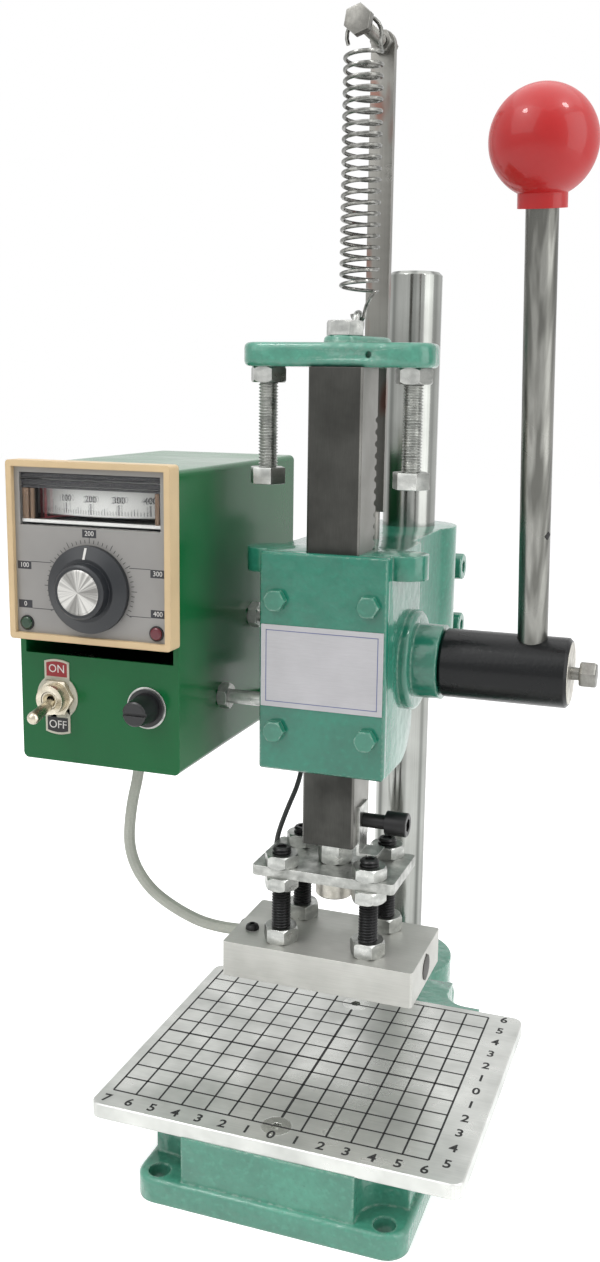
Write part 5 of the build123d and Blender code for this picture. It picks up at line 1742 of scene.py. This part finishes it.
    def fit_movement(self) -> None:
        """Set dark bars of painted shade across the top of the meter's window, over the scale, and its bright sill
        below it.
        """
        low, high = self.box("meter_window")
        front = high.y + self.behind_pane
        # Painted shade: dark bars across the window's top, where the scale lies in shade.
        shade_strip = Workpiece()
        for drop, depth in self.bridge_bars:
            top = high.z - drop
            far = (high.x, front + self.bar_thickness, top)
            shade_strip.span((low.x, front, top - depth), far, self.bar_edge)
        shade_strip.finish("meter_bridge", Body.HEAD, Slot.BLACK_PLASTIC, METER_SHADE)
        sill = Workpiece()
        back = self.box("meter_scale")[1].y
        for far_y, rise in ((back, self.sill_floor), (front + self.sill_depth, self.sill_lip)):
            sill.span((low.x, front, low.z), (high.x, far_y, low.z + rise), self.sill_edge)
        sill.finish("meter_sill", Body.HEAD, Slot.WHITE_SCALE, SCALE_WHITE)
        frame = Workpiece()
        foot = low.z + self.sill_lip
        for start, width, depth in self.frame_posts:
            x = low.x + start
            far = (x + width, front + depth, high.z - self.frame_drop)
            frame.span((x, front, foot), far, self.sill_edge)
        frame.finish("meter_movement", Body.HEAD, Slot.POINTER_METAL, MOVEMENT_BROWN)

    def ring_lamps(self) -> None:
        """Set a dark ring round each lamp."""
        for name in ("green_lamp", "red_lamp"):
            low, high = self.box(name)
            radius = (high.x - low.x) / 2
            x, _, z = self.middle(name)
            rim = ring(radius, radius + self.lamp_ring_width, self.lamp_ring_height, self.lamp_ring_slope)
            collar = Workpiece()
            collar.add(rim, (x, self.face_y, z), Aim.FRONT)
            collar.finish(f"{name}_ring", Body.HEAD, Slot.BLACK_PLASTIC, BLACK_PLASTIC)

    def spin_cap(self) -> None:
        """Turn the knob's bright cap with its fine rings."""
        low, high = self.box("knob_cap")
        radius = (high.x - low.x) / 2
        thickness = high.y - low.y
        edge = self.cap_edge
        profile = [(0.0, 0.0), (radius, 0.0), (radius, thickness - edge), (radius - edge, thickness)]
        step = (radius - self.cap_rim) / self.groove_count
        for index in range(self.groove_count):
            outer = radius - self.cap_rim - index * step
            profile.append((outer, thickness))
            profile.append((outer - step / 2, thickness - self.groove_depth))
        profile.append((0.0, thickness))
        x, _, z = self.middle("knob_cap")
        cap = Workpiece()
        cap.add(turned(profile, self.cap_steps), (x, high.y, z), Aim.FRONT)
        cap.finish("spun_cap", Body.DIAL, Slot.POINTER_METAL, SPUN_METAL, ["knob_cap"])

    def mark_knob(self) -> None:
        """Lay the light pointer line on the slope of the knob's skirt."""
        low, high = self.box("dial_knob")
        rim = (high.z - low.z) / 2
        rise = math.atan2(self.slope_height, rim - self.shoulder_radius)
        middle = (self.pointer_inner + self.pointer_outer) / 2
        lift = self.skirt_height + (rim - middle) * math.tan(rise)
        bar = block((self.pointer_width, self.pointer_outer - self.pointer_inner, 2 * PRINT_LIFT))
        place = (self.centre_x, self.face_y - lift, self.dial_z + middle)
        line = Workpiece()
        line.add(swung(bar, Matrix.Rotation(-rise, 3, "X")), place, Aim.FRONT)
        line.finish("knob_pointer", Body.DIAL, Slot.WHITE_SCALE, INK_WHITE)


@dataclass
class RamCarriage(Assembly):
    """The ram with its bracket on top and the plate and block below."""

    coarse_pitch: float = 1.25
    standoff_radius: float = 4.0
    stop_radius: float = 4.0
    stop_head: float = 6.9
    stop_head_edge: float = 0.5
    stop_play: float = 0.1
    socket_key: float = 4.0
    socket_depth: float = 4.0
    tip_chamfer: float = 0.7
    plug_place: tuple[float, float] = (-34.0, 8.0)
    plug_radius: float = 2.9
    plug_height: float = 2.4
    plug_shares: tuple[tuple[float, float], ...] = (
        (0.0, 0.0), (1.0, 0.0), (1.0, 0.3), (0.86, 0.72), (0.6, 0.94), (0.4, 1.0), (0.4, 0.5), (0.0, 0.5),
    )
    plug_steps: int = 32
    end_radius: float = 5.2
    end_thickness: float = 0.3
    end_steps: int = 40
    skirt_inset: float = 0.05
    bracket_edge_radius: float = 2.0

    def build(self) -> None:
        """Dress the carriage and cut its threads."""
        self.dress(RAM_STEEL, "ram")
        self.ease("top_bracket", "cast_bracket", Body.RAM, BRACKET_GREEN, self.bracket_edge_radius)
        self.dress(ZINC, "bracket_bolt", "stop_nuts", "spring_eye", "plate_nuts", "side_clip")
        self.dress(END_METAL, "stem_screw")
        self.dress(PLATE_METAL, "mounting_plate")
        self.dress(BLOCK_METAL, "heating_block")
        self.dress(BLACK_STEEL, "side_screw")
        self.dress(ROD_STEEL, "cartridge_heater", "sensor_probe")
        self.cut_standoffs()
        self.cut_stops()
        self.close_block()

    def close_block(self) -> None:
        """Set the black button screw on the block, and a dark disc of painted shade over its bore at the block's end.
        """
        high = self.box("heating_block")[1]
        profile = [(radius * self.plug_radius, z * self.plug_height) for radius, z in self.plug_shares]
        plug = Workpiece()
        plug.add(turned(profile, self.plug_steps), (*self.plug_place, high.z))
        plug.finish("block_plug", Body.RAM, Slot.BLACK_STEEL, BLACK_STEEL)
        _, y, z = self.middle("heating_block")
        # Painted shade: a dark disc over the bore's mouth, where the hole lies in shade.
        bore_shade_disc = Workpiece()
        bore_shade_disc.add(disc(self.end_radius, self.end_thickness, self.end_steps), (high.x, y, z), Aim.RIGHT)
        bore_shade_disc.finish("block_end", Body.RAM, Slot.BLACK_STEEL, BORE_SHADE)

    def cut_standoffs(self) -> None:
        """Make the four threaded screws between plate and block."""
        low, high = self.box("standoff_screws")
        radius = self.standoff_radius
        length = high.z - low.z
        screws = Workpiece()
        for x in (low.x + radius, high.x - radius):
            for y in (low.y + radius, high.y - radius):
                screws.add(threaded(radius, self.coarse_pitch, length - self.tip_chamfer), (x, y, low.z))
                screws.add(self.socket_end(radius), (x, y, high.z))
        screws.finish("threaded_standoffs", Body.RAM, Slot.BLACK_STEEL, BLACK_STEEL, ["standoff_screws"])

    def socket_end(self, radius: float) -> bmesh.types.BMesh:
        """Shape the end of a set screw, with its hexagon socket.

        Args:
            radius: The screw's radius.

        Returns:
            The new shape, its end face at Z 0.
        """
        shape = bmesh.new()
        rim = radius - self.tip_chamfer
        outer = bmesh.ops.create_circle(shape, cap_ends=False, segments=24, radius=rim)["verts"]
        corner = self.socket_key / math.sqrt(3)
        inner = bmesh.ops.create_circle(shape, cap_ends=False, segments=6, radius=corner)["verts"]
        outer_ring = list(dict.fromkeys(edge for vert in outer for edge in vert.link_edges))
        inner_ring = list(dict.fromkeys(edge for vert in inner for edge in vert.link_edges))
        bmesh.ops.bridge_loops(shape, edges=outer_ring + inner_ring)
        walls = bmesh.ops.extrude_edge_only(shape, edges=inner_ring)["geom"]
        floor = only(bmesh.types.BMVert, walls)
        bmesh.ops.translate(shape, vec=(0, 0, -self.socket_depth), verts=floor)
        bmesh.ops.contextual_create(shape, geom=only(bmesh.types.BMEdge, walls))
        skirt = bmesh.ops.extrude_edge_only(shape, edges=outer_ring)["geom"]
        foot = only(bmesh.types.BMVert, skirt)
        bmesh.ops.translate(shape, vec=(0, 0, -self.tip_chamfer), verts=foot)
        growth = (radius - self.skirt_inset) / rim
        bmesh.ops.scale(shape, vec=(growth, growth, 1.0), verts=foot)
        return shape

    def cut_stops(self) -> None:
        """Make the two stop bolts with their hexagon heads at the bottom."""
        low, high = self.box("stop_bolts")
        nut_low, nut_high = self.box("stop_nuts")
        corner = (nut_high.y - nut_low.y) / math.sqrt(3)
        y = self.middle("stop_bolts")[1]
        head_top = low.z + self.stop_head
        bolts = Workpiece()
        for x in (nut_low.x + corner, nut_high.x - corner):
            bolts.add(threaded(self.stop_radius, self.coarse_pitch, high.z - head_top), (x, y, head_top))
            cap = hexagon(corner, self.stop_head - self.stop_play, self.stop_head_edge)
            bolts.add(cap, (x, y, low.z + self.stop_play))
        bolts.finish("threaded_stops", Body.RAM, Slot.ZINC_STEEL, ZINC, ["stop_bolts"])


@dataclass
class ReturnSpring(Assembly):
    """The long return spring between the bracket's eye and the post."""

    wire: float = 1.6
    outer_radius: float = 8.0
    axis_y: float = 33.0
    low_z: float = 351.0
    high_z: float = 440.0
    turns: int = 21
    steps: int = 24
    low_hook: float = 2.6
    ring_z: float = 342.4
    high_hook: float = 7.0
    screw_z: float = 450.0
    screw_radius: float = 2.5
    hook_start: float = -20.0
    hook_end: float = 205.0
    hook_steps: int = 12
    lead_steps: int = 10
    lead_pull: float = 1.1
    coil_heading: Point = (0.0, 1.0, 0.1)

    def build(self) -> None:
        """Wind the spring and stretch it between its two ends."""
        upward = (0, 0, 1)
        bottom = self.hook(self.low_hook, self.ring_z, math.pi, math.tau)
        coil = self.coil()
        level = self.screw_z + self.screw_radius + self.wire / 2 - self.high_hook
        top = self.hook(self.high_hook, level, math.radians(self.hook_start), math.radians(self.hook_end))
        points = bottom + self.lead(bottom[-1], upward, coil[0], self.coil_heading)
        points += coil + self.lead(coil[-1], self.coil_heading, top[0], upward) + top
        mesh = line_of(metres(points), self.wire / 2 * MM, False)
        spring = settle(mesh, "wound_spring", None, Slot.SPRING_STEEL, SPRING_WIRE, ["return_spring"])
        start, end = metres([(0, self.axis_y, self.low_z), (0, self.axis_y, self.high_z)])
        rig.blend(spring, Body.RAM.value, Body.HEAD.value, start, end)

    def hook(self, radius: float, level: float, start: float, end: float) -> list[Point]:
        """Bend an end of the wire round its eye or screw.

        Args:
            radius: The bend's radius.
            level: The height of its centre.
            start: The angle it starts at.
            end: The angle it ends at.

        Returns:
            The points of the bend.
        """
        points = []
        for index in range(self.hook_steps + 1):
            angle = start + (end - start) * index / self.hook_steps
            points.append((radius * math.cos(angle), self.axis_y, level + radius * math.sin(angle)))
        return points

    def coil(self) -> list[Point]:
        """Wind the coils, from the bottom up.

        Returns:
            The points of the coils.
        """
        radius = self.outer_radius - self.wire / 2
        count = self.turns * self.steps
        points = []
        for index in range(count + 1):
            angle = math.tau * index / self.steps
            z = self.low_z + (self.high_z - self.low_z) * index / count
            points.append((radius * math.cos(angle), self.axis_y + radius * math.sin(angle), z))
        return points

    def lead(self, start: Point, start_way: Point, end: Point, end_way: Point) -> list[Point]:
        """Lead the wire smoothly from one place to another.

        Args:
            start: Where it starts.
            start_way: The way it heads there.
            end: Where it ends.
            end_way: The way it heads there.

        Returns:
            The points between the two places.
        """
        first = Vector(start)
        last = Vector(end)
        reach = (last - first).length
        leaving = Vector(start_way).normalized() * reach * self.lead_pull
        arriving = Vector(end_way).normalized() * reach * self.lead_pull
        points = []
        for index in range(1, self.lead_steps):
            t = index / self.lead_steps
            place = (
                first * (2 * t**3 - 3 * t**2 + 1) + leaving * (t**3 - 2 * t**2 + t)
                + last * (3 * t**2 - 2 * t**3) + arriving * (t**3 - t**2)
            )
            points.append(tuple(place))
        return points


@dataclass
class Wiring(Assembly):
    """The heater's cable and the sensor's wire, from the box to the block."""

    cable_diameter: float = 5.0
    wire_diameter: float = 2.2
    cable_route: tuple[Point, ...] = (
        (-93.0, 20.0, 158.0), (-93.0, 20.0, 146.0), (-98.0, 20.0, 127.0), (-99.5, 20.0, 106.0),
        (-90.5, 20.0, 90.5), (-75.0, 20.0, 81.5), (-58.0, 20.0, 76.5), (-44.3, 20.0, 77.5),
    )
    wire_route: tuple[Point, ...] = (
        (-56.5, 76.0, 172.0), (-46.5, 76.0, 172.0), (-35.5, 66.0, 166.5), (-27.0, 51.0, 158.0),
        (-22.3, 35.0, 146.0), (-28.0, 30.5, 130.0), (-32.8, 31.5, 116.0), (-32.5, 32.6, 103.5),
        (-31.5, 33.0, 91.3),
    )
    cable_length: float = 118.0
    wire_length: float = 120.0

    def build(self) -> None:
        """Lay both cords."""
        self.lay(
            "heater_lead", "heater_cable", self.cable_route, self.cable_diameter, self.cable_length,
            Slot.GLASS_SLEEVE, CABLE_SLEEVE,
        )
        self.lay(
            "sensor_lead", "sensor_wire", self.wire_route, self.wire_diameter, self.wire_length,
            Slot.DARK_WIRE, WIRE_SLEEVE,
        )

    def lay(
        self, name: str, node: str, route: Sequence[Point], diameter: float, length: float, slot: Slot,
        finish: Finish,
    ) -> None:
        """Lay one cord along its route and let it bend with the ram.

        Args:
            name: The piece's name.
            node: The CAD node it stands for.
            route: The points that guide it.
            diameter: Its diameter.
            length: Its length.
            slot: The record's slot it takes its finish from.
            finish: Its finish.
        """
        points = metres(route)
        centre = line_of(points, 0.0, True)
        path = [tuple(vertex.co) for vertex in centre.vertices]
        bpy.data.meshes.remove(centre)
        tube = line_of(points, diameter / 2 * MM, True)
        cord = settle(tube, name, None, slot, finish, [node])
        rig.blend(cord, Body.HEAD.value, Body.RAM.value, points[1], points[-2])
        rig.cord(
            cord, exit=path[0], length=length * MM, diameter=diameter * MM, far_end="object",
            stiffness="medium", lay="loose", path=path,
        )


@dataclass
class Lever(Assembly):
    """The pinion with its shaft, its hub and the lever."""

    shank_radius: float = 2.6
    shank_length: float = 3.6
    shank_steps: int = 32
    head_radius: float = 5.6
    head_edge: float = 0.9
    head_turn: float = 15.0
    face_radius: float = 12.6
    face_thickness: float = 0.2
    lean: float = 8.9
    rod_radius: float = 6.0
    nick_distance: float = 57.0
    nick_heading: float = 64.0
    nick_size: Point = (2.0, 0.6, 2.8)
    nick_edge: float = 0.2
    nick_slant: float = 38.0

    def build(self) -> None:
        """Dress the lever's parts, and add the hub's end and the rod's nick."""
        self.dress(GROUND_STEEL, "pinion_gear", "pinion_shaft")
        self.dress(HUB_BLACK, "lever_hub")
        self.dress(ROD_STEEL, "lever_rod")
        self.dress(BALL_RED, "lever_knob")
        self.end_hub()
        self.nick_rod()

    def end_hub(self) -> None:
        """Face the hub's end with bare metal and stand the hexagon screw in it."""
        end_x = self.box("lever_hub")[1].x
        _, y, z = self.middle("lever_hub")
        reach = self.box("hub_end_screw")[1].x - end_x
        thickness = self.face_thickness
        face = Workpiece()
        face.add(disc(self.face_radius, thickness, slope=thickness), (end_x, y, z), Aim.RIGHT)
        face.finish("hub_face", Body.LEVER, Slot.PLATE_METAL, END_METAL)
        screw = Workpiece()
        screw.add(disc(self.shank_radius, self.shank_length, self.shank_steps), (end_x, y, z), Aim.RIGHT)
        head = hexagon(self.head_radius, reach - self.shank_length, self.head_edge, self.head_turn)
        screw.add(head, (end_x + self.shank_length, y, z), Aim.RIGHT)
        screw.finish("hexagon_end_screw", Body.LEVER, Slot.ZINC_STEEL, DULL_STEEL, ["hub_end_screw"])

    def nick_rod(self) -> None:
        """Mark the nick in the rod's side with a black block, its darkness painted shade of the notch."""
        rod_x = self.middle("lever_rod")[0]
        _, shaft_y, shaft_z = self.middle("pinion_shaft")
        lean = math.radians(self.lean)
        heading = math.radians(self.nick_heading)
        x = rod_x + self.rod_radius * math.sin(heading)
        y = shaft_y - self.nick_distance * math.sin(lean) - self.rod_radius * math.cos(heading)
        z = shaft_z + self.nick_distance * math.cos(lean)
        slant = Matrix.Rotation(math.radians(self.nick_slant), 3, "Y")
        # Painted shade: a black block stands for the notch's dark inside.
        mark = Workpiece()
        nick = swung(block(self.nick_size, self.nick_edge), Matrix.Rotation(heading, 3, "Z") @ slant)
        mark.add(nick, (x, y, z))
        mark.finish("rod_nick", Body.LEVER, Slot.BLACK_STEEL, BLACK_STEEL)


def bright_rays(tree: bpy.types.NodeTree) -> bpy.types.NodeSocket:
    """Find the rays that see the room itself: the camera's, mirrored and passing ones.

    Args:
        tree: The nodes of a material or a world.

    Returns:
        1 for such a ray, 0 for the others.
    """
    rays = tree.nodes.new("ShaderNodeLightPath")
    share = rays.outputs["Is Camera Ray"]
    for name in ("Is Glossy Ray", "Is Transmission Ray"):
        node = tree.nodes.new("ShaderNodeMath")
        node.operation = "MAXIMUM"
        tree.links.new(share, node.inputs[0])
        tree.links.new(rays.outputs[name], node.inputs[1])
        share = node.outputs[0]
    return share


@dataclass(frozen=True)
class Lamp:
    """A soft lamp: where it hangs, its width and height, and its power in watts."""

    name: str
    place: Point
    size: tuple[float, float]
    power: float
    shape: str = "RECTANGLE"

    def hang(self, target: Point) -> None:
        """Hang the lamp.

        Args:
            target: What it faces.
        """
        lamp = bpy.data.lights.new(self.name, "AREA")
        lamp.shape = self.shape
        lamp.size, lamp.size_y = (side * MM for side in self.size)
        lamp.energy = self.power
        carrier = shown(self.name, lamp)
        carrier.location = Vector(self.place) * MM
        heading = Vector(target) * MM - carrier.location
        carrier.rotation_euler = heading.to_track_quat("-Z", "Y").to_euler()


@dataclass
class Studio:
    """The floor, the soft lights and the camera at the photograph's angle."""

    camera_place: Point = (150.9, -445.5, 314.1)
    yaw: float = 18.99
    pitch: float = 10.7
    roll: float = -0.92
    focal_pixels: float = 1220.0
    centre_pixel: tuple[float, float] = (321.0, 616.0)
    floor_reach: float = 4000.0
    floor_glow: float = 0.62
    floor_pale: Colour = srgb(243, 243, 243)
    floor_dim: Colour = srgb(238, 238, 238)
    fibre: float = 3.0
    room_light: float = 0.4
    nearest: float = 10.0
    farthest: float = 50000.0
    lamp_target: Point = (-30.0, 20.0, 200.0)
    lamps: tuple[Lamp, ...] = (
        Lamp("key", (-650.0, -900.0, 1100.0), (1300.0, 1300.0), 7.0),
        Lamp("side", (1100.0, -150.0, 520.0), (900.0, 1300.0), 6.5),
        Lamp("overhead", (0.0, 100.0, 1300.0), (1500.0, 1500.0), 6.0),
        Lamp("left bulb", (-500.0, -575.0, 1290.0), (190.0, 190.0), 2.6, "ELLIPSE"),
        Lamp("right bulb", (720.0, -180.0, 1385.0), (220.0, 220.0), 3.0, "ELLIPSE"),
    )

    def build(self) -> None:
        """Set the room, the lamps and the camera."""
        self.lay_floor()
        self.light_room()
        for lamp in self.lamps:
            lamp.hang(self.lamp_target)
        self.set_camera()
        bpy.context.scene.view_settings.view_transform = "Standard"

    def lay_floor(self) -> None:
        """Lay the pale floor that keeps the shadow."""
        shape = bmesh.new()
        bmesh.ops.create_grid(shape, x_segments=1, y_segments=1, size=self.floor_reach * MM)
        mesh = bpy.data.meshes.new("floor")
        shape.to_mesh(mesh)
        shape.free()
        graph = Graph("floor_paper")
        fibres = graph.noise(self.fibre, detail=2.0)
        paper = graph.blend(graph.spread(fibres, 0.0, 1.0), self.floor_dim, self.floor_pale)
        graph.surface(base_color=paper, roughness=0.9, specular_ior_level=0.1)
        glow = graph.times(bright_rays(graph.tree), self.floor_glow)
        graph.surface(emission_color=(1, 1, 1, 1), emission_strength=glow)
        mesh.materials.append(graph.material)
        floor = shown("floor", mesh)
        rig.stage(floor)

    def light_room(self) -> None:
        """Light the room softly from all round, white where it is seen."""
        world = bpy.data.worlds.new("room")
        bpy.context.scene.world = world
        world.use_nodes = True
        tree = world.node_tree
        tree.nodes.clear()
        strength = tree.nodes.new("ShaderNodeMapRange")
        strength.inputs["To Min"].default_value = self.room_light
        strength.inputs["To Max"].default_value = 1.0
        tree.links.new(bright_rays(tree), strength.inputs["Value"])
        background = tree.nodes.new("ShaderNodeBackground")
        background.inputs["Color"].default_value = (1, 1, 1, 1)
        tree.links.new(strength.outputs["Result"], background.inputs["Strength"])
        output = tree.nodes.new("ShaderNodeOutputWorld")
        tree.links.new(background.outputs[0], output.inputs["Surface"])

    def set_camera(self) -> None:
        """Stand the camera where the photograph was taken from."""
        yaw, pitch, roll = (math.radians(angle) for angle in (self.yaw, self.pitch, self.roll))
        forth = math.cos(pitch)
        ahead = Vector((-math.sin(yaw) * forth, math.cos(yaw) * forth, -math.sin(pitch)))
        level = Vector((math.cos(yaw), math.sin(yaw), 0.0))
        down = ahead.cross(level)
        right = level * math.cos(roll) + down * math.sin(roll)
        up = level * math.sin(roll) - down * math.cos(roll)
        turn = Matrix((right, up, -ahead)).transposed().to_4x4()
        camera = bpy.data.cameras.new("camera")
        camera.sensor_width = SENSOR_WIDTH
        longest = max(FRAME_PIXELS)
        camera.lens = self.focal_pixels / longest * SENSOR_WIDTH
        camera.shift_x = (FRAME_PIXELS[0] / 2 - self.centre_pixel[0]) / longest
        camera.shift_y = (self.centre_pixel[1] - FRAME_PIXELS[1] / 2) / longest
        camera.clip_start = self.nearest * MM
        camera.clip_end = self.farthest * MM
        carrier = shown("camera", camera)
        carrier.matrix_world = Matrix.Translation(Vector(self.camera_place) * MM) @ turn
        bpy.context.scene.camera = carrier


def main() -> None:
    """Build every sub-assembly round the frame and note both boxes."""
    logging.basicConfig(level=logging.INFO, format="%(name)s %(message)s", stream=sys.stdout)
    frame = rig.load()
    cad_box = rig.bounds()
    nodes = frame["nodes"]
    Studio().build()
    for assembly in (Bed, Head, ControlBox, Thermostat, RamCarriage, ReturnSpring, Wiring, Lever):
        LOG.info("building %s", assembly.__name__)
        assembly(nodes).build()
    boxes = {"cad": [list(map(float, corner)) for corner in cad_box]}
    boxes["visual"] = [list(map(float, corner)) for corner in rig.bounds()]
    with open(SIZE_FILE, "w", encoding="utf-8") as report:
        json.dump(boxes, report)


if __name__ == "__main__":
    main()
